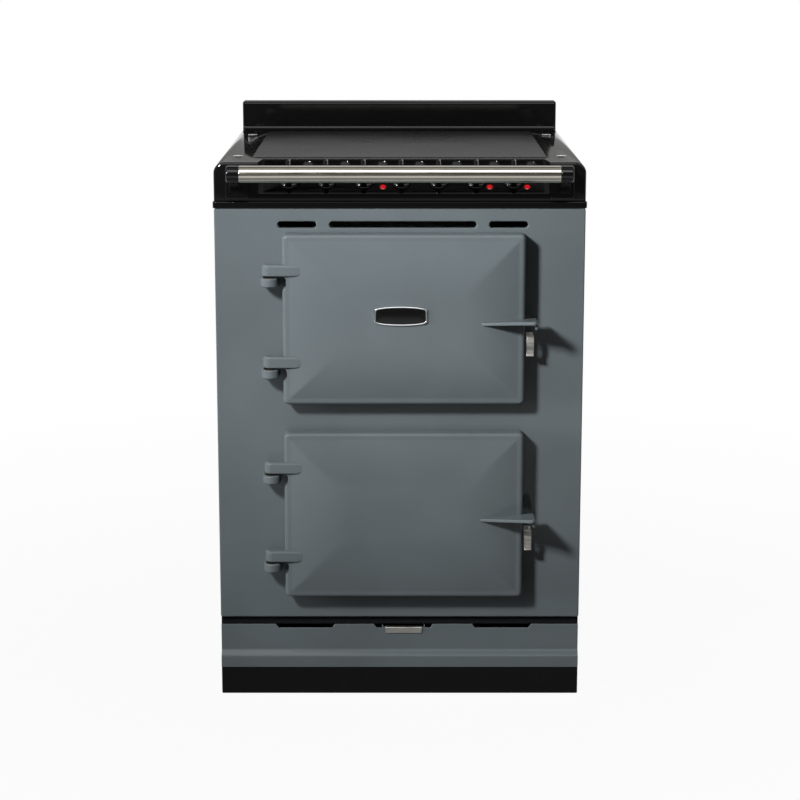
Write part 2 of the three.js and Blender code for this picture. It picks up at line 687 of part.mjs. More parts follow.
/** Curve of a grill element: straight runs joined by half turns. */
class GrillPath extends THREE.Curve {
  /** Point at t from 0 to 1, sharing t evenly among the runs. */
  getPoint(t, target = new THREE.Vector3()) {
    const straight = GRILL_LENGTH / 2 - GRILL_PITCH / 2;
    const scaled = Math.min(t * GRILL_RUNS, GRILL_RUNS - 1e-9);
    const run = Math.floor(scaled);
    const along = scaled - run;
    const side = run % 2 === 0 ? 1 : -1;
    const x = (run - (GRILL_RUNS - 1) / 2) * GRILL_PITCH;
    const turnShare = run === GRILL_RUNS - 1 ? 0 : 0.35;
    const runShare = 1 - turnShare;
    if (along <= runShare) {
      return target.set(x, side * straight * (1 - (2 * along) / runShare), 0);
    }
    const angle = ((along - runShare) / turnShare) * Math.PI;
    const radius = GRILL_PITCH / 2;
    return target.set(
      x + radius - radius * Math.cos(angle), -side * (straight + radius * Math.sin(angle)), 0,
    );
  }
}

/** Looped tube element under the top oven's ceiling, with tails into the back wall. */
function grillElement() {
  const section = new THREE.Shape();
  section.absarc(0, 0, GRILL_TUBE, 0, 2 * Math.PI, false);
  const geometry = new THREE.ExtrudeGeometry(section, {
    steps: 56, curveSegments: 3, bevelEnabled: false, extrudePath: new GrillPath(),
  });
  const centreY = (bodyFront + ovenBack) / 2;
  const loop = solidOf(geometry).translate([0, centreY, 0]);
  const back = centreY + GRILL_LENGTH / 2 - GRILL_PITCH / 2;
  const endX = ((GRILL_RUNS - 1) / 2) * GRILL_PITCH;
  const front = centreY - GRILL_LENGTH / 2 + GRILL_PITCH / 2;
  const wall = ovenBack - OVEN_WALL - FIT;
  const along = (x, y0, y1) => wire(new THREE.Vector3(x, y0, 0), new THREE.Vector3(x, y1, 0), GRILL_TUBE);
  const tail = along(-endX, back - 6, wall);
  const tip = along(endX, front + 6, front - 3);
  return piece('grill_element', joined(loop, tail, tip), 'elementSteel');
}

/** Pan in front of the fan, with its air inlet and guard bars. */
function fanBaffle() {
  const back = ovenBack - OVEN_WALL - FIT;
  const front = back - BAFFLE_DEPTH;
  const plate = roundedRectangle(BAFFLE_WIDTH, BAFFLE_HEIGHT, 10);
  const box = runBack(plate, front, back);
  const room = runBack(
    roundedRectangle(BAFFLE_WIDTH - 2 * SHEET, BAFFLE_HEIGHT - 2 * SHEET, 8), front + SHEET, back + 1,
  );
  const inlet = solidOf(new THREE.CylinderGeometry(FAN_GUARD_RADIUS - 20, FAN_GUARD_RADIUS - 20, 20, 20)
    .translate(0, front, 0));
  const guards = [-1, 0, 1].map((row) => block(
    -FAN_GUARD_RADIUS + 10, FAN_GUARD_RADIUS - 10, front, front + SHEET, row * 22 - 2, row * 22 + 2,
  ));
  return piece('fan_baffle', joined(cut(box, room, inlet), ...guards), 'ovenEnamel');
}

/** Fan wheel on its spindle: a hub, a disc and upright vanes. */
function fanWheel() {
  const hub = turned([
    [0, 0], [FAN_RADIUS, 0], [FAN_RADIUS, 1.5], [SPINDLE_RADIUS + 5, 1.5],
    [SPINDLE_RADIUS + 5, FAN_DEPTH], [0, FAN_DEPTH],
  ], 20);
  const vanes = [];
  for (let i = 0; i < FAN_BLADES; i += 1) {
    const vane = block(SPINDLE_RADIUS + 3, FAN_RADIUS - 2, -1, 1, 0.5, FAN_DEPTH - 2);
    vanes.push(vane.rotate([0, 0, (i * 360) / FAN_BLADES]));
  }
  const spindle = bar(SPINDLE_RADIUS, -BAFFLE_DEPTH, 1, 12);
  return piece('fan_wheel', joined(hub, spindle, ...vanes), 'steel');
}

/** Fan motor behind the lower oven, bored for the spindle, with its mounting plate. */
function fanMotor() {
  const bore = SPINDLE_RADIUS + FIT;
  const solid = turned([
    [bore, 0], [MOTOR_RADIUS + 16, 0], [MOTOR_RADIUS + 16, 3], [MOTOR_RADIUS, 3],
    [MOTOR_RADIUS, MOTOR_LENGTH - 6], [MOTOR_RADIUS - 8, MOTOR_LENGTH],
    [0, MOTOR_LENGTH], [0, MOTOR_LENGTH - 10], [bore, MOTOR_LENGTH - 10], [bore, 0],
  ], 16);
  return piece('fan_motor', solid, 'galvanised');
}

/** The fan of the lower oven: wheel inside the chamber, motor behind its back wall. */
function ovenFan() {
  const fan = new THREE.Group();
  const wheel = fanWheel();
  wheel.rotation.x = Math.PI / 2;
  fan.add(placed(wheel, 0, ovenBack - OVEN_WALL - 8, 0));
  const motor = fanMotor();
  motor.rotation.x = -Math.PI / 2;
  fan.add(placed(motor, 0, ovenBack + FIT, 0));
  return fan;
}

/** One oven with its chamber, shelf and heating or fan parts. */
function oven(level, centre) {
  const group = new THREE.Group();
  const isBottom = level === 'bottom';
  group.add(ovenLiner(`oven_liner_${level}`, isBottom ? SPINDLE_RADIUS + 2 : 0));
  group.add(wireShelf(`oven_shelf_${level}`));
  if (isBottom) {
    group.add(fanBaffle(), ovenFan());
  } else {
    group.add(placed(grillElement(), 0, 0, MOUTH_HEIGHT / 2 - GRILL_DROP));
  }
  return placed(group, FRONT_OFFSET, 0, centre);
}

// ---- Doors -------------------------------------------------------------------------

/** Points round a rectangle with small round corners, in order, at one depth. */
function ringPoints(halfWidth, halfHeight, radius, y) {
  const cornerSteps = 3;
  const points = [];
  const corners = [[1, -1, -0.5], [1, 1, 0], [-1, 1, 0.5], [-1, -1, 1]];
  for (const [signX, signZ, start] of corners) {
    for (let step = 0; step <= cornerSteps; step += 1) {
      const angle = (start + step / (2 * cornerSteps)) * Math.PI;
      const x = signX * (halfWidth - radius) + radius * Math.cos(angle);
      const z = signZ * (halfHeight - radius) + radius * Math.sin(angle);
      points.push(x, y, z);
    }
  }
  return points;
}

/** Height of the door's crown above its lip, at a distance in from the edge. */
function crownAt(inset) {
  const share = Math.min((inset - DOOR_LIP) / (DOOR_CROWN_RUN - DOOR_LIP), 1);
  return DOOR_CROWN * (1 - (1 - share) ** 2);
}

/** The crowned slab of a door: rings stepping in from the back edge to the flat middle. */
function crownedSlab() {
  const insets = [DOOR_LIP, 22, 36, 52, 72, DOOR_CROWN_RUN];
  const rings = [
    [0, DOOR_STANDOFF], [0, DOOR_RIM_REACH - 7], [2, DOOR_RIM_REACH - 2.5], [6, DOOR_RIM_REACH - 0.4],
    ...insets.map((inset) => [inset, DOOR_RIM_REACH + crownAt(inset)]),
  ];
  const positions = rings.flatMap(([inset, reach]) => ringPoints(
    DOOR_WIDTH / 2 - inset, DOOR_HEIGHT / 2 - inset, Math.max(DOOR_CORNER - inset, 0.8), -reach,
  ));
  const around = positions.length / 3 / rings.length;
  const indices = [];
  for (let ring = 0; ring + 1 < rings.length; ring += 1) {
    for (let i = 0; i < around; i += 1) {
      const a = ring * around + i;
      const b = ring * around + ((i + 1) % around);
      indices.push(a, b, b + around, a, b + around, a + around);
    }
  }
  for (let i = 1; i + 1 < around; i += 1) {
    const last = (rings.length - 1) * around;
    indices.push(0, i + 1, i, last, last + i, last + i + 1);
  }
  const geometry = new THREE.BufferGeometry();
  geometry.setAttribute('position', new THREE.Float32BufferAttribute(positions, 3));
  geometry.setIndex(indices);
  return solidOf(geometry);
}

/** Hinge arm: a level bar from the knuckle round the axis to where it meets the crown. */
function hingeArm(bottom) {
  const axisX = -DOOR_WIDTH / 2 - HINGE_INSET;
  const shape = new THREE.Shape();
  shape.moveTo(axisX + ARM_LENGTH, -HINGE_REACH - KNUCKLE_RADIUS);
  shape.lineTo(axisX + ARM_LENGTH, -HINGE_REACH + 4);
  shape.lineTo(axisX + KNUCKLE_RADIUS, -HINGE_REACH + KNUCKLE_RADIUS - 2);
  shape.absarc(axisX, -HINGE_REACH, KNUCKLE_RADIUS, Math.PI / 3, 1.5 * Math.PI, false);
  shape.closePath();
  const bore = bar(PIN_RADIUS + FIT, bottom - 1, bottom + PIN_DEPTH + FIT)
    .translate([axisX, -HINGE_REACH, 0]);
  return { arm: runUp(shape, bottom, bottom + ARM_HEIGHT, 1.5, 5), bore };
}

/** Handle blade: a level wedge that grows out of the crown and turns down at its end. */
function handleBlade() {
  const edgeX = DOOR_WIDTH / 2;
  const tipX = edgeX + BLADE_OVERHANG;
  const high = BLADE_ROOT + BLADE_RISE;
  const middle = BLADE_ROOT + BLADE_RISE * 0.6;
  const plan = [
    [tipX - BLADE_LENGTH, -doorFaceReach + 4, BLADE_ROOT], [tipX - 6, -BLADE_REACH, high],
    [tipX - 2, -BLADE_REACH + 1.5, high], [tipX, -BLADE_REACH + 6, high],
    [tipX, -DOOR_RIM_REACH + 6, middle], [edgeX - 12, -DOOR_RIM_REACH + 6, middle],
  ];
  const blade = hullOf(plan.flatMap(([x, y, top]) => [[x, y, top - BLADE_THICKNESS], [x, y, top]]));
  const end = [
    [tipX - BLADE_END_THICKNESS, -DOOR_RIM_REACH + 4], [tipX, -DOOR_RIM_REACH + 4],
    [tipX, -BLADE_REACH + 9], [tipX - BLADE_END_THICKNESS, -BLADE_REACH + 9],
  ];
  return joined(blade, hullOf(platePoints(end, high - BLADE_END_DROP, middle - 1)));
}

/** Door casting with its hinge arms and handle blade, hollowed at the back. */
function doorCasting(name) {
  const arms = HINGE_HEIGHTS.map(hingeArm);
  const pocket = runBack(
    roundedRectangle(DOOR_WIDTH - 2 * DOOR_WALL, DOOR_HEIGHT - 2 * DOOR_WALL, 6),
    -DOOR_RIM_REACH + DOOR_WALL, -DOOR_STANDOFF + 1,
  );
  const reliefs = HINGE_HEIGHTS.map((height) => block(
    -DOOR_WIDTH / 2 - 1, -DOOR_WIDTH / 2 + LUG_RELIEF, -DOOR_RIM_REACH - 4, 0,
    height - HINGE_GAP - LUG_HEIGHT - 6, height,
  ));
  const slabWithReliefs = cut(crownedSlab(), pocket, ...reliefs);
  const solid = cut(
    joined(slabWithReliefs, ...arms.map(({ arm }) => cut(arm, pocket)), handleBlade()),
    ...arms.map(({ bore }) => bore),
  );
  return piece(name, solid, 'slateEnamel');
}

/** Inner skin of a door: a shallow pan that fits in the hollow of the casting. */
function doorLiner(name) {
  const width = DOOR_WIDTH - 2 * DOOR_WALL - 2 * FIT;
  const height = DOOR_HEIGHT - 2 * DOOR_WALL - 2 * FIT;
  const front = -DOOR_RIM_REACH + DOOR_WALL + FIT;
  const back = -DOOR_STANDOFF - FIT;
  const pan = runBack(roundedRectangle(width, height, 6), front, back);
  const room = runBack(roundedRectangle(width - 2 * SHEET, height - 2 * SHEET, 5), front - 1, back - SHEET);
  return piece(name, cut(pan, room), 'ovenEnamel');
}

/** Rope seal between a door's inner skin and the front plate. */
function doorSeal(name) {
  const margin = 2 * SEAL_WIDTH + 6;
  const ring = rectangleRing(MOUTH_WIDTH + margin, MOUTH_HEIGHT + margin, SEAL_WIDTH, MOUTH_RADIUS + 4);
  return piece(name, runBack(ring, -DOOR_STANDOFF, -FIT), 'rope');
}

/** Plain badge plate on the flat middle of the upper door. */
function doorBadge() {
  const plate = roundedRectangle(BADGE_WIDTH, BADGE_HEIGHT, 6, BADGE_SHIFT, BADGE_RISE);
  const back = -doorFaceReach - FIT;
  return piece('door_badge', runBack(plate, back - BADGE_THICKNESS, back, 1), 'chrome');
}

/** A whole door at the height of its oven. */
function door(level, centre) {
  const group = new THREE.Group();
  group.add(doorCasting(`door_casting_${level}`));
  group.add(doorLiner(`door_liner_${level}`));
  group.add(doorSeal(`door_seal_${level}`));
  if (level === 'top') {
    group.add(doorBadge());
  }
  return placed(group, FRONT_OFFSET, 0, centre);
}

/** Hinge pin with its washer collar, standing in a lug. */
function hingePin(name) {
  const solid = turned([
    [0, -PIN_DEPTH], [PIN_RADIUS, -PIN_DEPTH], [PIN_RADIUS, FIT], [WASHER_RADIUS, FIT],
    [WASHER_RADIUS, HINGE_GAP - FIT], [PIN_RADIUS, HINGE_GAP - FIT],
    [PIN_RADIUS, HINGE_GAP + PIN_DEPTH], [0, HINGE_GAP + PIN_DEPTH],
  ], 16);
  return piece(name, solid, 'brass');
}

/** The pins of both doors. */
function hingePins() {
  const pins = new THREE.Group();
  for (const [level, centre] of Object.entries(OVEN_CENTRES)) {
    HINGE_HEIGHTS.forEach((height, index) => {
      const pin = hingePin(`hinge_pin_${level}_${index === 0 ? 'upper' : 'lower'}`);
      pins.add(placed(pin, hingeX, -HINGE_REACH, centre + height - HINGE_GAP));
    });
  }
  return pins;
}

/** Sprung steel catch beside a door: a foot on the front plate and a waved strip. */
function doorCatch(name, centre) {
  const steps = 10;
  const front = [];
  const back = [];
  for (let i = 0; i <= steps; i += 1) {
    const share = i / steps;
    const z = CATCH_HEIGHT * (share - 0.5);
    const wave = 3.5 * Math.sin(share * 2.5 * Math.PI);
    front.push([-CATCH_REACH + wave, z]);
    back.unshift([-CATCH_REACH + wave + CATCH_STRIP, z]);
  }
  const strip = outline([...front, ...back]);
  const x0 = doorEdgeX + CATCH_CLEARANCE;
  const arm = block(x0, x0 + CATCH_WIDTH, -CATCH_REACH + 1, -FIT, -CATCH_HEIGHT / 2, -CATCH_HEIGHT / 2 + 4);
  const foot = block(x0, x0 + CATCH_WIDTH, -FIT - CATCH_STRIP, -FIT, -CATCH_HEIGHT / 2, CATCH_HEIGHT / 2);
  const solid = joined(runAcross(strip, x0, x0 + CATCH_WIDTH), arm, foot);
  return placed(piece(name, solid, 'steel'), 0, 0, centre - CATCH_DROP);
}

// ---- Top ---------------------------------------------------------------------------

/** Places something given in the fascia's own frame: x across, y up the slope, z out. */
const fasciaFrame = new THREE.Matrix4().makeRotationX(FASCIA_TILT)
  .setPosition(0, FASCIA_SETBACK, hobLevel);
const fasciaLength = FASCIA_SETBACK / Math.cos(FASCIA_TILT);

/** A block given in the fascia's own frame. */
function fasciaBlock(x0, x1, up0, up1, out0, out1) {
  const geometry = new THREE.BoxGeometry(x1 - x0, up1 - up0, out1 - out0);
  geometry.translate((x0 + x1) / 2, (up0 + up1) / 2, (out0 + out1) / 2);
  return solidOf(geometry.applyMatrix4(fasciaFrame));
}

/** Space cleared in front of the fascia, with sloping ends. */
function recessCutter() {
  const foot = hobLevel - FASCIA_SETBACK * Math.tan(FASCIA_TILT);
  const reach = 20;
  const above = 10;
  const deepHalf = recessWidth / 2;
  const wideHalf = deepHalf + RECESS_END_FLARE;
  const points = [];
  for (const side of [-1, 1]) {
    points.push(
      [FRONT_OFFSET + side * deepHalf, FASCIA_SETBACK + above, hobLevel + above],
      [FRONT_OFFSET + side * deepHalf, -reach, foot - reach],
      [FRONT_OFFSET + side * wideHalf, -reach, foot - reach + 1],
      [FRONT_OFFSET + side * wideHalf, -reach, hobLevel + above],
    );
  }
  const belowFoot = block(-flangeWidth, flangeWidth, -reach - 1, 0, foot - reach - 1, foot);
  return cut(hullOf(points), belowFoot);
}

/** Hollow underneath the top casting, following the slope of the fascia. */
function topHollow() {
  const drop = TOP_WALL / Math.cos(FASCIA_TILT);
  const ceiling = hobLevel - TOP_WALL;
  const wallFront = TOP_WALL;
  const slopeStart = FASCIA_SETBACK + drop - (hobLevel - ceiling) / Math.tan(FASCIA_TILT);
  const slopeFoot = ceiling - (slopeStart - wallFront) * Math.tan(FASCIA_TILT);
  const backInside = topBack - TOP_WALL;
  const profile = outline([
    [wallFront, flangeBottom - 1], [backInside, flangeBottom - 1], [backInside, ceiling],
    [slopeStart, ceiling], [wallFront, slopeFoot],
  ]);
  const half = BODY_WIDTH / 2 - TOP_WALL;
  return runAcross(profile, -half, half);
}

/** Black enamelled top casting: flange, hob opening, fascia recess and hollow underside. */
function topPlate() {
  const half = BODY_WIDTH / 2;
  const section = new THREE.Shape();
  section.moveTo(-half, flangeTop - 1);
  section.lineTo(half, flangeTop - 1);
  section.lineTo(half, hobLevel - TOP_CORNER);
  section.absarc(half - TOP_CORNER, hobLevel - TOP_CORNER, TOP_CORNER, 0, Math.PI / 2, false);
  section.absarc(-half + TOP_CORNER, hobLevel - TOP_CORNER, TOP_CORNER, Math.PI / 2, Math.PI, false);
  section.closePath();
  const back = topBack;
  const body = runBack(section, 0, back, TOP_EDGE, 3);
  const flangePlan = roundedRectangle(flangeWidth, flangeDepth, 4, 0, BODY_DEPTH / 2);
  const flange = runUp(flangePlan, flangeBottom, flangeTop, 1);

  const glassMiddle = GLASS_SETBACK + GLASS_DEPTH / 2;
  const seatLevel = hobLevel + GLASS_PROUD - GLASS_THICKNESS - FIT;
  const seat = runUp(
    roundedRectangle(glassWidth + 2 * FIT, GLASS_DEPTH + 2 * FIT, GLASS_CORNER, 0, glassMiddle),
    seatLevel, hobLevel + 1,
  );
  const through = runUp(
    roundedRectangle(
      glassWidth - 2 * GLASS_LEDGE, GLASS_DEPTH - 2 * GLASS_LEDGE, GLASS_CORNER, 0, glassMiddle,
    ),
    flangeBottom, hobLevel,
  );
  const plateHalf = recessWidth / 2 - FIT;
  const fasciaSeat = fasciaBlock(
    FRONT_OFFSET - plateHalf - FIT, FRONT_OFFSET + plateHalf + FIT,
    -fasciaLength + 1.5 - FIT, -1.5 + FIT, -FASCIA_THICKNESS - FIT, 1,
  );
  const window = fasciaBlock(
    FRONT_OFFSET - plateHalf + FASCIA_LEDGE, FRONT_OFFSET + plateHalf - FASCIA_LEDGE,
    -fasciaLength + 1.5 + FASCIA_LEDGE, -1.5 - FASCIA_LEDGE, -TOP_WALL - 6, 0,
  );
  const solid = cut(joined(body, flange), topHollow(), recessCutter(), seat, through, fasciaSeat, window);
  return piece('top_plate', solid, 'blackEnamel');
}

/** Ceramic glass hob surface. */
function hobGlass() {
  const middleY = GLASS_SETBACK + GLASS_DEPTH / 2;
  const top = hobLevel + GLASS_PROUD;
  const plan = roundedRectangle(glassWidth, GLASS_DEPTH, GLASS_CORNER, 0, middleY);
  return piece('hob_glass', runUp(plan, top - GLASS_THICKNESS, top, 1), 'glass');
}

/** Upstand along the back of the hob, with a cove at its foot. */
function rearUpstand() {
  const bottom = hobLevel + FIT;
  const top = bottom + UPSTAND_HEIGHT;
  const back = upstandFront + UPSTAND_THICKNESS;
  const profile = new THREE.Shape();
  profile.moveTo(back, bottom);
  profile.lineTo(back, top - UPSTAND_EDGE);
  profile.absarc(back - UPSTAND_EDGE, top - UPSTAND_EDGE, UPSTAND_EDGE, 0, Math.PI / 2, false);
  profile.absarc(upstandFront + UPSTAND_EDGE, top - UPSTAND_EDGE, UPSTAND_EDGE, Math.PI / 2, Math.PI, false);
  profile.absarc(upstandFront - UPSTAND_COVE, bottom + UPSTAND_COVE + 1, UPSTAND_COVE, 0, -Math.PI / 2, true);
  profile.lineTo(upstandFront - UPSTAND_COVE, bottom);
  profile.closePath();
  const half = upstandWidth / 2;
  const hollow = block(
    -half + UPSTAND_WALL, half - UPSTAND_WALL, upstandFront + UPSTAND_WALL, back - UPSTAND_WALL,
    bottom - 1, top - UPSTAND_WALL,
  );
  const ends = runBack(
    roundedRectangle(upstandWidth, 2 * UPSTAND_HEIGHT, UPSTAND_EDGE, 0, bottom), 0, topBack,
  );
  const rounded = runAcross(profile, -half, half).intersect(ends);
  return piece('rear_upstand', cut(rounded, hollow), 'blackEnamel');
}

/** Low round caps let into the top beside the glass. */
function topCaps() {
  const caps = new THREE.Group();
  const names = { '-1': 'left', 1: 'right' };
  CAP_SETBACKS.forEach((setback, row) => {
    for (const side of [-1, 1]) {
      const solid = turned([
        [0, 0], [CAP_RADIUS, 0], [CAP_RADIUS, 1], [CAP_RADIUS * 0.75, CAP_HEIGHT], [0, CAP_HEIGHT],
      ], 20);
      const cap = piece(`top_cap_${row === 0 ? 'front' : 'back'}_${names[side]}`, solid, 'chrome');
      caps.add(placed(cap, side * capX, setback, hobLevel + FIT));
    }
  });
  return caps;
}

/** Pan hung under the hob opening, with the four radiant elements standing in it. */
function hobHeating() {
  const group = new THREE.Group();
  const middleY = GLASS_SETBACK + GLASS_DEPTH / 2;
  const glassUnderside = hobLevel + GLASS_PROUD - GLASS_THICKNESS;
  const elementBottom = glassUnderside - FIT - ELEMENT_HEIGHT;
  const rim = hobLevel - TOP_WALL - FIT;
  const halfWidth = glassWidth / 2 - 2;
  const halfDepth = GLASS_DEPTH / 2 - 2;
  const floor = elementBottom - FIT - SHEET;
  const pan = block(-halfWidth, halfWidth, -halfDepth, halfDepth, floor, rim);
  const room = block(
    -halfWidth + SHEET, halfWidth - SHEET, -halfDepth + SHEET, halfDepth - SHEET, floor + SHEET, rim + 1,
  );
  group.add(piece('element_tray', cut(pan, room), 'galvanised'));
  const corners = [[-1, -1], [1, -1], [-1, 1], [1, 1]];
  corners.forEach(([signX, signY], index) => {
    const radius = ELEMENT_RADII[index];
    const dish = turned([
      [0, 0], [radius, 0], [radius, ELEMENT_HEIGHT], [radius - ELEMENT_WALL, ELEMENT_HEIGHT],
      [radius - ELEMENT_WALL, ELEMENT_WALL], [0, ELEMENT_WALL],
    ], 24);
    const element = piece(`hob_element_${index + 1}`, dish, 'mica');
    const x = (signX * glassWidth * ELEMENT_SPREAD) / 2;
    const y = (signY * GLASS_DEPTH * ELEMENT_SPREAD) / 2;
    group.add(placed(element, x, y, elementBottom));
  });
  return placed(group, 0, middleY, 0);
}

// ---- Controls ----------------------------------------------------------------------

/** X of a knob in the row. */
function knobX(index) {
  return KNOB_CENTRE_X + (index - (KNOB_COUNT - 1) / 2) * knobPitch;
}

/** X of the round disc to the right of a knob. */
function discX(index) {
  return knobX(index) + knobPitch / 2;
}

/** X of a red lens, given the knob before it and its distance from that knob. */
function neonX([index, shift]) {
  return knobX(index) + shift;
}

/** Fascia plate with a hole for every spindle and lamp. */
function controlFascia() {
  const plateHalf = recessWidth / 2 - FIT;
  const height = fasciaLength - 3;
  const shape = roundedRectangle(2 * plateHalf, height, 1.5, FRONT_OFFSET, -fasciaLength / 2);
  const hole = (x, down, radius) => {
    const path = new THREE.Path();
    path.absarc(x, -down, radius + FIT, 0, 2 * Math.PI, true);
    shape.holes.push(path);
  };
  for (let i = 0; i < KNOB_COUNT; i += 1) {
    hole(knobX(i), KNOB_DOWN, KNOB_SHAFT_RADIUS);
    hole(discX(i), DISC_DOWN, DISC_RADIUS);
  }
  NEON_PLACES.forEach((place) => hole(neonX(place), NEON_DOWN, NEON_RADIUS));
  const plate = solidOf(slab(shape, FASCIA_THICKNESS, 0, 6).translate(0, 0, -FASCIA_THICKNESS));
  return piece('control_fascia', plate, 'blackEnamel');
}

/** Round lamps standing up from one bar behind the fascia. */
function lampStrip(name, centres, down, radius, finish) {
  const back = -FASCIA_THICKNESS - FIT;
  const strip = block(
    Math.min(...centres) - radius, Math.max(...centres) + radius,
    -down - CARRIER_HEIGHT / 2, -down + CARRIER_HEIGHT / 2, back - CARRIER_THICKNESS, back,
  );
  const lamps = centres.map((x) => turned([
    [0, back - 0.5], [radius / 2, back - 0.5], [radius / 2, back + 0.2], [radius, back + 0.2],
    [radius, LAMP_PROUD - 0.8], [radius * 0.8, LAMP_PROUD], [0, LAMP_PROUD],
  ], 12).translate([x, -down, 0]));
  return piece(name, joined(strip, ...lamps), finish);
}

/** Row of switches behind the fascia, bored for the knob spindles. */
function switchBank() {
  const front = -FASCIA_THICKNESS - FIT;
  const boxes = [];
  const bores = [];
  for (let i = 0; i < KNOB_COUNT; i += 1) {
    const x = knobX(i);
    boxes.push(block(
      x - SWITCH_WIDTH / 2, x + SWITCH_WIDTH / 2, -KNOB_DOWN - SWITCH_BELOW,
      -KNOB_DOWN - SWITCH_BELOW + SWITCH_HEIGHT, front - SWITCH_DEPTH, front,
    ));
    bores.push(bar(KNOB_SHAFT_RADIUS + FIT, -KNOB_SHAFT_LENGTH - FIT, 0, 12).translate([x, -KNOB_DOWN, 0]));
  }
  const rail = block(
    knobX(0), knobX(KNOB_COUNT - 1), -KNOB_DOWN - 5, -KNOB_DOWN + 5,
    front - SWITCH_DEPTH, front - SWITCH_DEPTH + 8,
  );
  return piece('switch_bank', cut(joined(rail, ...boxes), ...bores), 'blackPlastic');
}

/** Control knob: a bevelled skirt, an upright grip and a spindle. */
function knob(name) {
  const skirt = turned([
    [0, FIT], [KNOB_SKIRT_RADIUS, FIT], [KNOB_SKIRT_RADIUS, 3], [KNOB_SKIRT_RADIUS - 2.5, KNOB_SKIRT_HEIGHT],
    [0, KNOB_SKIRT_HEIGHT],
  ], 20);
  const grip = runUp(
    roundedRectangle(KNOB_GRIP_WIDTH, KNOB_GRIP_LENGTH, 3), KNOB_SKIRT_HEIGHT - 1, KNOB_HEIGHT, 1.2, 1,
  );
  const spindle = bar(KNOB_SHAFT_RADIUS, -KNOB_SHAFT_LENGTH, 1, 12);
  return piece(name, joined(skirt, grip, spindle), 'blackPlastic');
}

/** Everything on the slope, laid out flat and then leaned back to the fascia's angle. */
function controls() {
  const group = new THREE.Group();
  group.add(controlFascia());
  const indices = Array.from({ length: KNOB_COUNT }, (_, index) => index);
  group.add(lampStrip('indicator_strip', indices.map(discX), DISC_DOWN, DISC_RADIUS, 'smokedLens'));
  group.add(lampStrip('neon_strip', NEON_PLACES.map(neonX), NEON_DOWN, NEON_RADIUS, 'redLens'));
  group.add(switchBank());
  for (const index of indices) {
    group.add(placed(knob(`knob_${index + 1}`), knobX(index), -KNOB_DOWN, 0));
  }
  group.rotation.x = FASCIA_TILT;
  return placed(group, 0, FASCIA_SETBACK, hobLevel);
}

// ---- Handrail ----------------------------------------------------------------------

/** Hollow rail tube. */
function handrailTube() {
  const section = new THREE.Shape();
  section.absarc(0, 0, RAIL_RADIUS, 0, 2 * Math.PI, false);
  const bore = new THREE.Path();
  bore.absarc(0, 0, RAIL_RADIUS - RAIL_WALL, 0, 2 * Math.PI, true);
  section.holes.push(bore);
  return piece('handrail_tube', runAcross(section, -railLength / 2, railLength / 2, 0, 10), 'nickel');
}

/** Cast bracket: a foot on the top casting, an arm, and a round head with a spigot. */
function railBracket(name, side) {
  const headInner = railLength / 2 + FIT;
  const headOuter = headInner + RAIL_HEAD_LENGTH;
  const middle = (headInner + headOuter) / 2 - 3;
  const railLevel = hobLevel - RAIL_DROP;
  const footTop = BRACKET_BOTTOM + BRACKET_HEIGHT;
  const foot = runBack(
    roundedRectangle(BRACKET_WIDTH, BRACKET_HEIGHT, 4, middle, (BRACKET_BOTTOM + footTop) / 2),
    -FIT - BRACKET_FOOT, -FIT, 1.2,
  ).translate([0, 0, -railLevel]);
  const spin = (radius, x0, x1) => {
    const cylinder = new THREE.CylinderGeometry(radius, radius, x1 - x0, 24);
    return solidOf(cylinder.rotateZ(Math.PI / 2).translate((x0 + x1) / 2, -RAIL_REACH, 0));
  };
  const head = spin(RAIL_RADIUS, headInner, headOuter);
  const spigot = spin(RAIL_RADIUS - RAIL_WALL - FIT, headInner - RAIL_SPIGOT, headInner + 1);
  const armHalf = RAIL_HEAD_LENGTH / 2 - 1.5;
  const armMiddle = (headInner + headOuter) / 2;
  const armPoints = [-armHalf, armHalf].flatMap((shift) => [
    [armMiddle + shift, -RAIL_REACH, -11], [armMiddle + shift, -RAIL_REACH, 5],
    [armMiddle + shift, -BRACKET_FOOT, BRACKET_BOTTOM - railLevel + 10],
    [armMiddle + shift, -BRACKET_FOOT, footTop - railLevel - 4],
  ]);
  const solid = joined(foot, head, spigot, hullOf(armPoints));
  const flipped = side < 0 ? solid.mirror([1, 0, 0]) : solid;
  return placed(piece(name, flipped, 'blackEnamel'), 0, 0, railLevel);
}

/** The rail on its two brackets. */
function handrail() {
  const group = new THREE.Group();
  group.add(placed(handrailTube(), 0, -RAIL_REACH, hobLevel - RAIL_DROP));
  group.add(railBracket('rail_bracket_left', -1));
  group.add(railBracket('rail_bracket_right', 1));
  return group;
}

// ---- Assembly ----------------------------------------------------------------------

const range = new THREE.Group();
range.add(plinth(), baseTray(), levellingFeet(), lowerPanel(), slideOutPlate());
range.add(piece('side_panel_left', sidePanelSolid(-1), 'slateEnamel'));
range.add(piece('side_panel_right', sidePanelSolid(1), 'slateEnamel'));
range.add(backPanel(), terminalBlock(), frontPlate());
for (const [level, centre] of Object.entries(OVEN_CENTRES)) {
  range.add(oven(level, centre), door(level, centre), doorCatch(`door_catch_${level}`, centre));
}
range.add(hingePins(), topPlate(), hobGlass(), rearUpstand(), topCaps(), hobHeating());
range.add(controls(), handrail());

const frontMost = -BLADE_REACH;
const backMost = topBack;
range.position.y = -(frontMost + backMost) / 2;

const group = new THREE.Group();
group.add(range);
export default group;
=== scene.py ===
"""Dressed model of a free-standing cast iron range cooker with two side-hung ovens.

Shapes are worked out in millimetres in a layout frame whose y = 0 is the face of the front
plate, with X to the right, Y to the back and Z up, and are put into Blender in metres in the
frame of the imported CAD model.
"""
import logging
import math
from dataclasses import dataclass, field
from enum import Enum
from typing import Callable, Iterable, Sequence

import bmesh
import bpy
import numpy as np
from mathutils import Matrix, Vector
from mathutils.geometry import tessellate_polygon


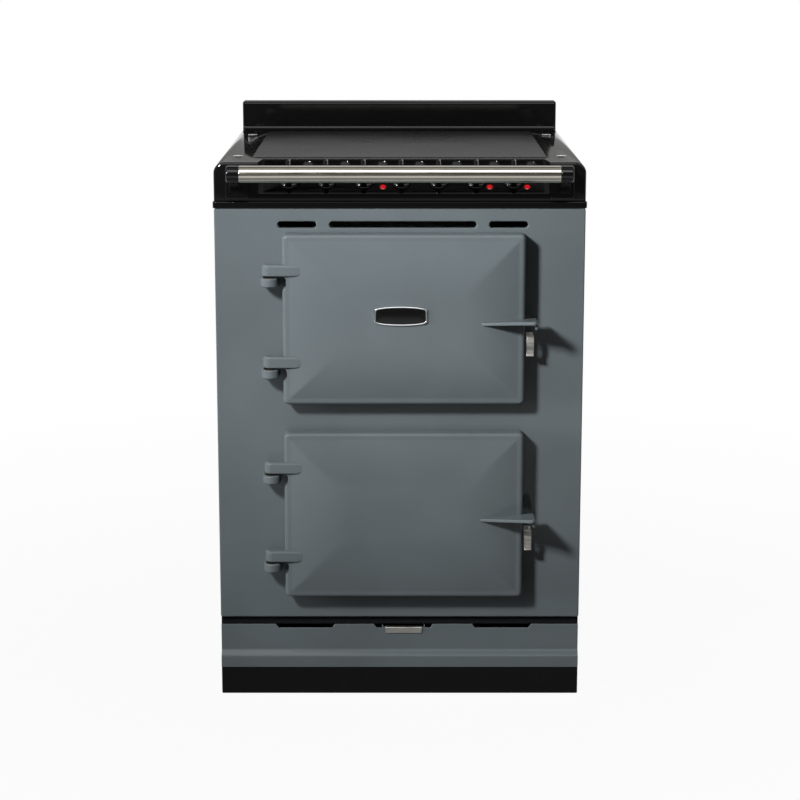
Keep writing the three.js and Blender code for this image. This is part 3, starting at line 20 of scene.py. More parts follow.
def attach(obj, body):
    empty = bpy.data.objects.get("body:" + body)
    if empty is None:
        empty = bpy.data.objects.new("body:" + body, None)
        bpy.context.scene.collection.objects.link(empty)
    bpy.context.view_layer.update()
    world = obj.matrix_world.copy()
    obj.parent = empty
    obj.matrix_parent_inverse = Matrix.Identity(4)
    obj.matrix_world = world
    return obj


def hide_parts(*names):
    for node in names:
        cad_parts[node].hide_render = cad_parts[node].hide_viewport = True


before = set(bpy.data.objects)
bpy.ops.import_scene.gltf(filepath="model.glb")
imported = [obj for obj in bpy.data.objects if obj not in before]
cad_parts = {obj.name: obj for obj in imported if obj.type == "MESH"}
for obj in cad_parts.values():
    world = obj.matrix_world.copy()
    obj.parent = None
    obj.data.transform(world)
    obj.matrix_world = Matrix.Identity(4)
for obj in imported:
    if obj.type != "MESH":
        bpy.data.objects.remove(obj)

logging.basicConfig(level=logging.INFO, format="%(message)s")
log = logging.getLogger("range")

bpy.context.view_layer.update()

FRONT_FACE_Y = -256.0  # part y of the front plate's face, in millimetres
FIT = 0.3
MM = 0.001

MOST_NOISE = (0.3, 0.7)  # the range in which nearly all fractal noise lies

Pair = tuple[float, float]
Triple = tuple[float, float, float]
Socket = bpy.types.NodeSocket


# ---- Surfaces ----------------------------------------------------------------------


class Plane(Enum):
    """How a flat outline (u, v) with depth w lies in the layout frame."""

    FRONT = "front"  # u = x, v = z, w = y
    TOP = "top"  # u = x, v = y, w = z
    SIDE = "side"  # u = y, v = z, w = x

    def place(self, uvw: np.ndarray) -> np.ndarray:
        """Turns points given as (u, v, w) into layout x, y, z."""
        order = {"front": (0, 2, 1), "top": (0, 1, 2), "side": (2, 0, 1)}[self.value]
        return uvw[..., order]


@dataclass
class Skin:
    """Points and faces of a shape, in millimetres of the layout frame.

    Attributes:
        points: Array of shape (n, 3).
        faces: Index tuples, one for each face.
        coats: Material index of each face.
    """

    points: np.ndarray
    faces: list[tuple[int, ...]]
    coats: list[int] = field(default_factory=list)

    def __post_init__(self) -> None:
        """Gives every face the first material where none is named."""
        if not self.coats:
            self.coats = [0] * len(self.faces)

    def coated(self, coat: int) -> "Skin":
        """The same shape with every face in one material."""
        return Skin(self.points, self.faces, [coat] * len(self.faces))

    def moved(self, x: float = 0.0, y: float = 0.0, z: float = 0.0) -> "Skin":
        """The shape shifted by x, y, z."""
        return Skin(self.points + np.array((x, y, z)), self.faces, self.coats)

    def mirrored(self) -> "Skin":
        """The shape reflected in the plane x = 0, with its faces turned back outwards."""
        faces = [tuple(reversed(face)) for face in self.faces]
        return Skin(self.points * np.array((-1.0, 1.0, 1.0)), faces, self.coats)

    def mapped(self, rule: Callable[[np.ndarray], np.ndarray]) -> "Skin":
        """The shape with a rule applied to its whole array of points."""
        return Skin(rule(self.points), self.faces, self.coats)


def together(skins: Iterable[Skin]) -> Skin:
    """Several shapes as one.

    Args:
        skins: The shapes, in order.

    Returns:
        The shape with all their points and faces.
    """
    points, faces, coats, start = [], [], [], 0
    for skin in skins:
        points.append(skin.points)
        faces += [tuple(i + start for i in face) for face in skin.faces]
        coats += skin.coats
        start += len(skin.points)
    return Skin(np.concatenate(points), faces, coats)


def lofted(rings: np.ndarray, caps: tuple[bool, bool] = (True, True), closed: bool = False) -> Skin:
    """Skin through rings of points: point (i, j) joins (i, j + 1) and (i + 1, j).

    Args:
        rings: Array of shape (rings, points, 3).
        caps: Whether the first and the last ring are filled.
        closed: Whether the last ring joins the first again, as on a hoop.

    Returns:
        The skin, all in the first material.
    """
    count, around = rings.shape[:2]
    row = np.arange(count if closed else count - 1)[:, None]
    col = np.arange(around)[None, :]
    here, there = row * around, (row + 1) % count * around
    after = (col + 1) % around
    quads = np.stack([here + col, here + after, there + after, there + col], -1).reshape(-1, 4)
    faces = [tuple(quad) for quad in quads.tolist()]
    if not closed and caps[0]:
        faces.append(tuple(range(around))[::-1])
    if not closed and caps[1]:
        faces.append(tuple(range((count - 1) * around, count * around)))
    return Skin(rings.reshape(-1, 3), faces)


def rays(angle: np.ndarray) -> np.ndarray:
    """The pair (cos a, sin a) for every angle."""
    return np.stack([np.cos(angle), np.sin(angle)], -1)


def unit_circle(steps: int) -> np.ndarray:
    """Points (u, v) round a circle of radius 1, anticlockwise from u = 1."""
    return rays(np.linspace(0.0, 2 * np.pi, steps, endpoint=False))


def rounded_loop(half_u: float, half_v: float, radius: float, centre: Pair = (0.0, 0.0),
                 steps: int = 6, side_steps: int = 1) -> np.ndarray:
    """Anticlockwise loop round a rectangle whose corners are quarter circles.

    Each corner is its circle's centre plus radius times (cos a, sin a) over a quarter turn.

    Args:
        half_u: Half of the width.
        half_v: Half of the height.
        radius: Radius of the corners.
        centre: Middle of the rectangle.
        steps: Number of steps round each corner.
        side_steps: Number of equal parts in each straight side.

    Returns:
        Points (u, v), shape (n, 2).
    """
    signs = np.array(((1, -1), (1, 1), (-1, 1), (-1, -1)))
    start = np.array((-0.5, 0.0, 0.5, 1.0)) * np.pi
    turn = np.linspace(0.0, np.pi / 2, steps + 1)
    angle = start[:, None] + turn[None, :]
    middle = signs * np.array((half_u - radius, half_v - radius))
    arcs = middle[:, None, :] + radius * rays(angle)
    share = np.linspace(0.0, 1.0, side_steps + 1)[1:-1]
    following = np.roll(arcs[:, 0], -1, 0)
    sides = arcs[:, -1][:, None] * (1 - share)[:, None] + following[:, None] * share[:, None]
    return np.concatenate([arcs, sides], 1).reshape(-1, 2) + np.array(centre)


def rounded_corners(corners: Sequence[Pair], radii: Sequence[float] | float, steps: int = 4) -> np.ndarray:
    """Anticlockwise loop through corners, each replaced by a curve that touches both sides.

    The curve is the quadratic Bezier of the points at `radius` before and after the corner.

    Args:
        corners: The corners in order.
        radii: Distance from each corner at which its curve begins, or one for all.
        steps: Number of steps in each curve.

    Returns:
        Points (u, v), shape (n, 2).
    """
    corner = np.asarray(corners, float)
    reach = np.broadcast_to(np.asarray(radii, float), len(corner))[:, None]
    before = np.roll(corner, 1, 0) - corner
    after = np.roll(corner, -1, 0) - corner
    begin = corner + before / np.linalg.norm(before, axis=1, keepdims=True) * reach
    end = corner + after / np.linalg.norm(after, axis=1, keepdims=True) * reach
    t = np.linspace(0.0, 1.0, steps + 1)[None, :, None]
    curve = (1 - t) ** 2 * begin[:, None] + 2 * t * (1 - t) * corner[:, None] + t ** 2 * end[:, None]
    return curve.reshape(-1, 2)


def level_at(loop: np.ndarray, w: float) -> np.ndarray:
    """Flat loop (u, v) with the one depth w, as points (u, v, w)."""
    return np.column_stack([loop, np.full(len(loop), w)])


def shrunk(loop: np.ndarray, inset: float) -> np.ndarray:
    """Loop moved inwards by `inset`: each point goes along the mitre of its two sides.

    Args:
        loop: Anticlockwise points (u, v).
        inset: How far it moves; outwards if negative.

    Returns:
        The moved loop, point for point.
    """
    along = np.roll(loop, -1, 0) - loop
    length = np.maximum(np.linalg.norm(along, axis=1, keepdims=True), 1e-9)
    after = np.stack([-along[:, 1], along[:, 0]], -1) / length
    before = np.roll(after, 1, 0)
    mitre = (before + after) / np.maximum(1 + (before * after).sum(1, keepdims=True), 0.3)
    return loop + mitre * inset


def edge_profile(depth: float, near: float, far: float, steps: int = 3) -> np.ndarray:
    """Rows of (inset, w) over an edge: a quarter round, a straight wall and a quarter round.

    Args:
        depth: Whole thickness.
        near: Radius of the rounding at w = 0.
        far: Radius of the rounding at w = depth.
        steps: Number of steps in each quarter round.

    Returns:
        The rows, without repeats.
    """
    turn = np.linspace(0.0, np.pi / 2, steps + 1)
    first = np.stack([near * (1 - np.sin(turn)), near * (1 - np.cos(turn))], -1)
    last = np.stack([far * (1 - np.cos(turn)), depth - far * (1 - np.sin(turn))], -1)
    rows = np.concatenate([first, last])
    keep = np.concatenate([[True], np.abs(np.diff(rows, axis=0)).sum(1) > 1e-6])
    return rows[keep]


def plate(outer: np.ndarray, start: float, depth: float, plane: Plane, holes: Sequence[np.ndarray] = (),
          near: float = 0.0, far: float = 0.0, steps: int = 3) -> Skin:
    """Flat plate with holes and rounded edges: each loop is carried over an edge profile.

    Args:
        outer: Anticlockwise outline in (u, v).
        start: Depth coordinate w of the near face.
        depth: Thickness, towards growing w.
        plane: How (u, v, w) lies in the layout.
        holes: Anticlockwise outlines of the openings.
        near: Rounding radius of the near face's edges.
        far: Rounding radius of the far face's edges.
        steps: Number of steps in a rounding.

    Returns:
        The closed plate in the layout frame.
    """
    rows = edge_profile(depth, near, far, steps)
    walls, rims = [], []
    for index, loop in enumerate([outer, *holes]):
        sign = 1.0 if index == 0 else -1.0
        rings = np.stack([level_at(shrunk(loop, sign * inset), start + w) for inset, w in rows])
        walls.append(lofted(rings, caps=(False, False)))
        rims.append(rings)
    skins = list(walls)
    for end in (0, -1):
        loops = [ring[end] for ring in rims]
        flat = [[(u, v, 0.0) for u, v, _ in loop] for loop in loops]
        triangles = tessellate_polygon(flat)
        skins.append(Skin(np.concatenate(loops), [tuple(t) for t in triangles]))
    joined = together(skins)
    return Skin(plane.place(joined.points), joined.faces, joined.coats)


def brick(x: Pair, y: Pair, z: Pair, edge: float = 0.6, steps: int = 2) -> Skin:
    """Block between limits on each axis, with every edge rounded by `edge`."""
    loop = rounded_loop((x[1] - x[0]) / 2, (z[1] - z[0]) / 2, edge, (sum(x) / 2, sum(z) / 2), steps)
    return plate(loop, y[0], y[1] - y[0], Plane.FRONT, near=edge, far=edge, steps=steps)


def turned(rows: Sequence[Pair], steps: int = 48) -> Skin:
    """Profile of (radius, z) turned about Z: (r cos a, r sin a, z) over a whole turn.

    Args:
        rows: Pairs of radius and z, in order along the profile.
        steps: Number of sides.

    Returns:
        The solid of revolution.
    """
    profile = np.asarray(rows, float)
    ring = unit_circle(steps)
    rings = np.concatenate([
        profile[:, None, :1] * ring[None], np.repeat(profile[:, None, 1:], steps, 1),
    ], -1)
    return lofted(rings)


def tipped(skin: Skin, axis: str) -> Skin:
    """Shape made about Z turned so that its Z axis points along +x or towards the front, -y."""
    order, sign = {"x": ((2, 0, 1), (1, 1, 1)), "front": ((0, 2, 1), (1, -1, 1))}[axis]
    return Skin(skin.points[:, order] * np.array(sign), skin.faces, skin.coats)


def rod(path: np.ndarray, radius: float, normal: Sequence[float], steps: int = 12) -> Skin:
    """Round bar along a flat path: the centre plus r (cos a side + sin a normal) at each point.

    Args:
        path: Centre line, shape (n, 3).
        radius: Radius of the bar.
        normal: Unit normal of the plane that the path lies in.
        steps: Number of sides.

    Returns:
        The bar with flat ends.
    """
    tangent = np.gradient(path, axis=0)
    tangent /= np.linalg.norm(tangent, axis=1, keepdims=True)
    up = np.asarray(normal, float)
    side = np.cross(tangent, up)
    angle = np.linspace(0.0, 2 * np.pi, steps, endpoint=False)[None, :, None]
    rings = path[:, None] + radius * (np.cos(angle) * side[:, None] + np.sin(angle) * up)
    return lofted(rings)


def hoops(half_u: float, half_v: float, radius: float, rows: Sequence[Pair], plane: Plane,
          centre: Pair = (0.0, 0.0), closed: bool = False, caps: tuple[bool, bool] = (True, True),
          steps: int = 6, side_steps: int = 1, least: float = 0.8) -> Skin:
    """Loft through rounded rectangles, one for each row of (inset, w).

    Args:
        half_u: Half of the width where the inset is nought.
        half_v: Half of the height where the inset is nought.
        radius: Corner radius there; it shrinks with the inset.
        rows: Pairs of inset and depth w.
        plane: How (u, v, w) lies in the layout.
        centre: Middle of the rectangles.
        closed: Whether the last hoop joins the first.
        caps: Whether the first and last hoops are filled.
        steps: Steps round each corner.
        side_steps: Parts in each straight side.
        least: Smallest corner radius.

    Returns:
        The loft in the layout frame.
    """
    rings = np.stack([
        level_at(rounded_loop(half_u - inset, half_v - inset, max(radius - inset, least), centre,
                              steps, side_steps), w)
        for inset, w in rows
    ])
    return lofted(plane.place(rings), caps, closed)


def screw_head(x: float, y: float, z: float, radius: float = 4.0, facing: float = 1.0) -> Skin:
    """Low domed screw with a cross recess, set on a face that looks along +y or -y.

    The dome's height falls off as the square of the radius, and sinks in a cross of two bars.

    Args:
        x: Middle of the head, across.
        y: The face that it sits on.
        z: Middle of the head, upwards.
        radius: Radius of the head.
        facing: 1 where the face looks to the back, -1 to the front.

    Returns:
        The head, with a flat foot.
    """
    bar_half, bar_reach, bar_depth, bulge, rim = 0.13, 0.62, 0.28, 0.42, 0.12  # as shares of the radius
    angle = np.linspace(0.0, 2 * np.pi, 40, endpoint=False)
    r, a = np.meshgrid(np.linspace(0.0, 1.0, 9), angle, indexing="ij")
    u, v = r * np.cos(a), r * np.sin(a)
    cross = (np.minimum(np.abs(u), np.abs(v)) < bar_half) & (r < bar_reach)
    sunk = np.where(cross, bar_depth, 0.0)
    height = radius * (bulge * (1 - r ** 2) + rim - sunk * (1 - r) ** 0.3)
    dome = np.stack([x + radius * u, y + facing * height, z + radius * v], -1)
    tip = np.broadcast_to(dome[0].mean(0), dome[0].shape)
    foot = dome[-1].copy()
    foot[:, 1] = y
    return lofted(np.stack([tip, *dome[1:], foot]))


def corner_screws(x: float, y: float, z: float, across: float, up: float, radius: float,
                  facing: float = 1.0) -> list[Skin]:
    """Four screw heads, at x +- across and z +- up on the face at y."""
    return [screw_head(x + i * across, y, z + j * up, radius, facing) for i in (-1, 1) for j in (-1, 1)]


# ---- Finishes ----------------------------------------------------------------------


class Wiring:
    """Adds nodes to the tree of a material or of the world, and joins them."""

    def __init__(self, tree: bpy.types.NodeTree) -> None:
        """Takes the tree that the nodes go into."""
        self.nodes, self.links = tree.nodes, tree.links

    def sums(self, operation: str, first: Socket, second: Socket | float) -> Socket:
        """Result of a Math node on one socket and a socket or a number.

        Args:
            operation: Blender's name for the sum.
            first: The first value.
            second: The other value, or a number.

        Returns:
            The result.
        """
        node = self.nodes.new("ShaderNodeMath")
        node.operation = operation
        self.links.new(first, node.inputs[0])
        if isinstance(second, float):
            node.inputs[1].default_value = second
        else:
            self.links.new(second, node.inputs[1])
        return node.outputs[0]

    def span(self, value: Socket, start: float, end: float, low: float = 0.0, high: float = 1.0) -> Socket:
        """Value taken from start..end to low..high, and held beyond them.

        Args:
            value: What is mapped.
            start: Value at one end.
            end: Value at the other end.
            low: Result at the start.
            high: Result at the end.

        Returns:
            The new value.
        """
        node = self.nodes.new("ShaderNodeMapRange")
        for name, number in (("From Min", start), ("From Max", end), ("To Min", low), ("To Max", high)):
            node.inputs[name].default_value = number
        self.links.new(value, node.inputs["Value"])
        return node.outputs["Result"]

    def mixed(self, factor: Socket, first: Socket | float, second: Socket | float) -> Socket:
        """Mix of two colours or grey levels.

        Args:
            factor: Share of the second.
            first: Colour, or a grey level.
            second: Colour, or a grey level.

        Returns:
            The mix.
        """
        node = self.nodes.new("ShaderNodeMix")
        node.data_type = "RGBA"
        self.links.new(factor, node.inputs["Factor"])
        for socket, value in (("A", first), ("B", second)):
            inlet = [i for i in node.inputs if i.name == socket and i.type == "RGBA"][0]
            if isinstance(value, float):
                inlet.default_value = (value, value, value, 1.0)
            else:
                self.links.new(value, inlet)
        return [o for o in node.outputs if o.type == "RGBA"][0]

    def axes(self, vector: Socket) -> bpy.types.NodeOutputs:
        """The x, y and z parts of a vector, as outputs X, Y and Z."""
        node = self.nodes.new("ShaderNodeSeparateXYZ")
        self.links.new(vector, node.inputs[0])
        return node.outputs


class Graph(Wiring):
    """A material under construction: one Principled shader and the nodes that feed it."""

    def __init__(self, name: str) -> None:
        """Starts a material whose patterns read Object coordinates.

        Args:
            name: Name of the material.
        """
        self.material = bpy.data.materials.new(name)
        self.material.use_nodes = True
        super().__init__(self.material.node_tree)
        self.shader = self.nodes["Principled BSDF"]
        self.place = self.nodes.new("ShaderNodeTexCoord").outputs["Object"]

    def settle(self, **sockets: float | tuple[float, ...]) -> None:
        """Writes constants straight into the shader's sockets, named with _ for a space."""
        for name, value in sockets.items():
            self.shader.inputs[name.replace("_", " ")].default_value = value

    def stretched(self, scale: Triple) -> Socket:
        """Object coordinates scaled along each axis.

        Args:
            scale: Factor for each axis.

        Returns:
            The scaled coordinates.
        """
        node = self.nodes.new("ShaderNodeMapping")
        node.inputs["Scale"].default_value = scale
        self.links.new(self.place, node.inputs["Vector"])
        return node.outputs["Vector"]

    def noise(self, scale: float, detail: float = 2.0, roughness: float = 0.5,
              vector: Socket | None = None) -> Socket:
        """Fractal noise with about `scale` cells to the metre.

        Args:
            scale: Cells to the metre.
            detail: Number of finer layers.
            roughness: Weight of the finer layers.
            vector: Coordinates, if not those of the object.

        Returns:
            The noise, mostly 0.3 to 0.7.
        """
        node = self.nodes.new("ShaderNodeTexNoise")
        node.inputs["Scale"].default_value = scale
        node.inputs["Detail"].default_value = detail
        node.inputs["Roughness"].default_value = roughness
        self.links.new(vector or self.place, node.inputs["Vector"])
        return node.outputs["Fac"]

    def cells(self, scale: float) -> Socket:
        """Random value for each cell of a Voronoi pattern.

        Args:
            scale: Cells to the metre.

        Returns:
            The values.
        """
        node = self.nodes.new("ShaderNodeTexVoronoi")
        node.inputs["Scale"].default_value = scale
        self.links.new(self.place, node.inputs["Vector"])
        return node.outputs["Color"]

    def blend(self, factor: Socket, dark: np.ndarray, light: np.ndarray,
              ends: Pair = MOST_NOISE) -> Socket:
        """Colour between two, by a factor taken between two ends.

        Args:
            factor: What decides the share.
            dark: Colour at the first end.
            light: Colour at the second.
            ends: Factor at the dark end and at the light end.

        Returns:
            The colour.
        """
        ramp = self.nodes.new("ShaderNodeValToRGB")
        for stop, end, colour in zip(ramp.color_ramp.elements, ends, (dark, light)):
            stop.position, stop.color = end, (*colour, 1)
        self.links.new(factor, ramp.inputs["Fac"])
        return ramp.outputs["Color"]

    def feed(self, socket: str, value: Socket) -> None:
        """Joins a value to a socket of the shader."""
        self.links.new(value, self.shader.inputs[socket])

    def bump(self, height: Socket, distance: float, strength: float = 1.0,
             onto: Socket | None = None) -> Socket:
        """Bump of `distance` metres, on top of an earlier one if given, joined to the shader.

        Args:
            height: Height pattern.
            distance: Depth in metres.
            strength: Weight of the bump.
            onto: The earlier bump.

        Returns:
            The bent normal.
        """
        node = self.nodes.new("ShaderNodeBump")
        node.inputs["Distance"].default_value = distance
        node.inputs["Strength"].default_value = strength
        self.links.new(height, node.inputs["Height"])
        if onto is not None:
            self.links.new(onto, node.inputs["Normal"])
        self.feed("Normal", node.outputs["Normal"])
        return node.outputs["Normal"]


def linear(*levels: int) -> tuple[float, ...]:
    """sRGB levels from 0 to 255 as linear light: ((s + 0.055) / 1.055) to the power 2.4."""
    share = np.array(levels) / 255.0
    return tuple(np.where(share <= 0.04045, share / 12.92, ((share + 0.055) / 1.055) ** 2.4).tolist())


@dataclass(frozen=True)
class Enamel:
    """Vitreous enamel on cast iron: a clear gloss over a colour that pools slightly.

    Attributes:
        name: Name of the material.
        colour: sRGB levels of the body colour.
        spread: How far the colour wanders, as a share.
        roughness: Roughness of the body under the gloss.
        gloss: Weight of the clear coat.
        level: Strength of the body's own reflection.
        peel: Depth of the orange peel in metres.
    """

    name: str
    colour: tuple[int, int, int]
    spread: float = 0.07
    roughness: float = 0.35
    gloss: float = 0.6
    level: float = 0.3
    peel: float = 0.00012

    def material(self) -> bpy.types.Material:
        """Builds the material.

        Returns:
            The finished material.
        """
        graph = Graph(self.name)
        body = np.array(linear(*self.colour))
        drift = graph.noise(7.0, 3.0)
        graph.feed("Base Color", graph.blend(
            drift, body * (1 - self.spread), body * (1 + self.spread)))
        graph.feed("Roughness", graph.span(graph.noise(45.0, 4.0), *MOST_NOISE,
                                           self.roughness - 0.05, self.roughness + 0.05))
        graph.settle(Coat_Weight=self.gloss, Coat_Roughness=0.06, Coat_IOR=1.45,
                     Specular_IOR_Level=self.level)
        fine = graph.bump(graph.noise(900.0, 2.0), self.peel * 0.12, 0.5)
        graph.bump(graph.noise(170.0, 2.0), self.peel, 0.55, onto=fine)
        return graph.material


@dataclass(frozen=True)
class Metal:
    """Bare or plated metal, brushed along one axis.

    Attributes:
        name: Name of the material.
        colour: sRGB levels of the reflection.
        roughness: Middle of the roughness.
        grain: Scale of the brushing along X, Y and Z, in lines to the metre.
        depth: Depth of the brushing in metres.
        tarnish: Share by which patches are darker.
    """

    name: str
    colour: tuple[int, int, int]
    roughness: float = 0.25
    grain: Triple = (30.0, 900.0, 900.0)
    depth: float = 0.00001
    tarnish: float = 0.12

    def material(self) -> bpy.types.Material:
        """Builds the material.

        Returns:
            The finished material.
        """
        graph = Graph(self.name)
        body = np.array(linear(*self.colour))
        graph.feed("Base Color", graph.blend(
            graph.noise(22.0, 5.0, 0.6), body * (1 - self.tarnish), body))
        brushing = graph.noise(1.0, 3.0, 0.6, graph.stretched(self.grain))
        graph.feed("Roughness", graph.span(brushing, *MOST_NOISE,
                                           self.roughness * 0.75, self.roughness * 1.3))
        graph.settle(Metallic=1.0)
        graph.bump(brushing, self.depth, 0.5)
        return graph.material


@dataclass(frozen=True)
class Zinc:
    """Galvanised sheet: spangled crystals of differing brightness.

    Attributes:
        name: Name of the material.
        colour: sRGB levels of the brighter crystals.
        spangle: Number of crystals to the metre.
    """

    name: str
    colour: tuple[int, int, int] = (168, 172, 175)
    spangle: float = 110.0

    def material(self) -> bpy.types.Material:
        """Builds the material.

        Returns:
            The finished material.
        """
        graph = Graph(self.name)
        body = np.array(linear(*self.colour))
        cells = graph.cells(self.spangle)
        graph.feed("Base Color", graph.blend(cells, body * 0.72, body, (0.1, 0.9)))
        graph.feed("Roughness", graph.span(cells, 0.0, 1.0, 0.34, 0.56))
        graph.settle(Metallic=0.85)
        graph.bump(graph.noise(400.0, 3.0), 0.00002, 0.4)
        return graph.material


@dataclass(frozen=True)
class Moulding:
    """Moulded plastic, paint, mineral board or rope: dull or glossy, grained in three scales.

    Attributes:
        name: Name of the material.
        colour: sRGB levels of the body.
        roughness: Middle of the roughness.
        grain: Cells of the grain to the metre.
        depth: Depth of the grain in metres.
        level: Strength of the reflection.
        spread: How far the colour wanders, as a share.
    """

    name: str
    colour: tuple[int, int, int]
    roughness: float = 0.45
    grain: float = 1400.0
    depth: float = 0.00004
    level: float = 0.4
    spread: float = 0.12

    def material(self) -> bpy.types.Material:
        """Builds the material.

        Returns:
            The finished material.
        """
        graph = Graph(self.name)
        body = np.array(linear(*self.colour))
        graph.feed("Base Color", graph.blend(
            graph.noise(60.0, 5.0, 0.65), body * (1 - self.spread), body * (1 + self.spread)))
        graph.feed("Roughness", graph.span(graph.noise(25.0, 4.0), *MOST_NOISE,
                                           self.roughness * 0.85, min(self.roughness * 1.15, 1.0)))
        graph.settle(Specular_IOR_Level=self.level)
        graph.bump(graph.noise(self.grain, 3.0, 0.6), self.depth, 0.6)
        return graph.material


@dataclass(frozen=True)
class CeramicGlass:
    """Black ceramic hob glass: nearly black, polished, with the faintest waviness."""

    name: str = "hob_glass"
    colour: tuple[int, int, int] = (30, 30, 32)

    def material(self) -> bpy.types.Material:
        """Builds the material.

        Returns:
            The finished material.
        """
        graph = Graph(self.name)
        body = np.array(linear(*self.colour))
        graph.feed("Base Color", graph.blend(graph.noise(600.0, 1.0), body * 0.8, body * 1.3))
        graph.feed("Roughness", graph.span(graph.noise(12.0, 3.0), *MOST_NOISE, 0.26, 0.32))
        graph.settle(Specular_IOR_Level=0.12)
        return graph.material


@dataclass(frozen=True)
class Lens:
    """Coloured lamp lens, ribbed on its face like a moulded reflector."""

    name: str
    colour: tuple[int, int, int]
    glow: float = 0.0

    def material(self) -> bpy.types.Material:
        """Builds the material.

        Returns:
            The finished material.
        """
        graph = Graph(self.name)
        body = np.array(linear(*self.colour))
        ribs = graph.noise(700.0, 1.0)
        graph.feed("Base Color", graph.blend(ribs, body * 0.6, body))
        graph.feed("Roughness", graph.span(ribs, *MOST_NOISE, 0.08, 0.22))
        graph.settle(Coat_Weight=0.25, Coat_Roughness=0.04, Specular_IOR_Level=0.15,
                     Emission_Color=(*body.tolist(), 1.0), Emission_Strength=self.glow)
        graph.bump(ribs, 0.00008, 0.5)
        return graph.material


class Coat(Enum):
    """The finishes of the range, each with the record's material slot that it belongs to."""

    SLATE = Enamel("slate_enamel", (84, 91, 94), gloss=0.45, level=0.04)
    SHEET = Enamel("slate_sheet", (84, 91, 94), 0.04, 0.4, 0.6, 0.3, 0.00005)
    BLACK = Enamel("black_enamel", (3, 3, 4), 0.2, 0.6, 0.9, 0.02, 0.00003)
    OVEN = Enamel("oven_enamel", (24, 25, 29), 0.35, 0.45, 0.3, 0.4, 0.00015)
    PLINTH = Moulding("satin_black", (11, 11, 12), 0.5, 900.0, 0.00003, 0.1)
    GLASS = CeramicGlass()
    NICKEL = Metal("nickel", (206, 202, 190), 0.16)
    CHROME = Metal("chrome", (214, 216, 219), 0.1, (200.0, 200.0, 200.0), 0.000004, 0.05)
    STEEL = Metal("steel", (182, 180, 175), 0.36, (60.0, 400.0, 400.0), 0.00001, 0.12)
    ZINC = Zinc("galvanised")
    # Brass darkened far below its own colour so that the hinge washer reads as dark as the shade in the gap
    # between lug and arm: painted shade.
    SHADED_BRASS = Metal("brass", (66, 56, 40), 0.4, (400.0, 400.0, 400.0), 0.00001, 0.25)
    RED = Lens("red_lens", (214, 14, 20), 0.5)
    SMOKED = Lens("smoked_lens", (38, 38, 40))
    ROPE = Moulding("rope", (52, 50, 47), 0.95, 900.0, 0.0006, 0.1, 0.4)
    MICA = Moulding("mica", (150, 144, 132), 0.8, 500.0, 0.0003, 0.2, 0.25)
    # Dark sheet for the strip in the gap above the lower panel, standing for the shade that the front plate
    # casts there: painted shade.
    GAP_SHADE = Moulding("black_sheet", (12, 16, 17), 0.7, 500.0, 0.0001, 0.1)
    PLASTIC = Moulding("black_plastic", (9, 9, 10), 0.14, 700.0, 0.000004, 0.3)
    ELEMENT = Metal("element_steel", (98, 90, 82), 0.45, (300.0, 300.0, 300.0), 0.00003, 0.4)

    @property
    def slot(self) -> str:
        """Name of the record's material slot."""
        return self.value.name


class Finishes:
    """Keeps one Blender material for each finish that is asked for."""

    def __init__(self) -> None:
        """Starts with no material made."""
        self.made: dict[Coat, bpy.types.Material] = {}

    def of(self, coat: Coat) -> bpy.types.Material:
        """The material of a finish, built the first time."""
        if coat not in self.made:
            self.made[coat] = coat.value.material()
        return self.made[coat]


FINISHES = Finishes()


# ---- Pieces ------------------------------------------------------------------------


def mesh_of(name: str, skin: Skin) -> bpy.types.Mesh:
    """Mesh in metres of the part frame, its doubles merged and its faces turned outwards.

    Args:
        name: Name of the mesh.
        skin: The shape in millimetres.

    Returns:
        The mesh, with a material number on each face.
    """
    mesh = bpy.data.meshes.new(name)
    points = (skin.points + np.array((0.0, FRONT_FACE_Y, 0.0))) * MM
    mesh.from_pydata(points.tolist(), [], skin.faces)
    mesh.polygons.foreach_set("material_index", np.array(skin.coats, np.int32))
    work = bmesh.new()
    work.from_mesh(mesh)
    bmesh.ops.remove_doubles(work, verts=work.verts, dist=2e-6)
    bmesh.ops.dissolve_degenerate(work, edges=work.edges, dist=1e-7)
    bmesh.ops.recalc_face_normals(work, faces=work.faces)
    work.to_mesh(mesh)
    work.free()
    return mesh


def carved(name: str, skin: Skin, cutters: Sequence[Skin]) -> bpy.types.Mesh:
    """Mesh of a shape with others taken out of it by exact Boolean difference.

    Args:
        name: Name for the stand-ins, which are removed again.
        skin: The shape that is cut.
        cutters: Closed shapes to take away.

    Returns:
        The carved mesh, in metres.
    """
    held = []

    def stand_in(part: str, shape: Skin) -> bpy.types.Object:
        """An object for the shape, removed again afterwards.

        Args:
            part: Its name.
            shape: The shape.

        Returns:
            The object.
        """
        made = bpy.data.objects.new(part, mesh_of(part, shape))
        bpy.context.scene.collection.objects.link(made)
        held.append(made)
        return made

    blank = stand_in(f"{name}_blank", skin)
    for index, cutter in enumerate(cutters):
        step = blank.modifiers.new(f"cut_{index}", "BOOLEAN")
        step.object = stand_in(f"{name}_tool_{index}", cutter)
        step.operation, step.solver = "DIFFERENCE", "EXACT"
    bpy.context.view_layer.update()
    graph = bpy.context.evaluated_depsgraph_get()
    mesh = bpy.data.meshes.new_from_object(blank.evaluated_get(graph))
    for made in held:
        bpy.data.objects.remove(made)
    return mesh


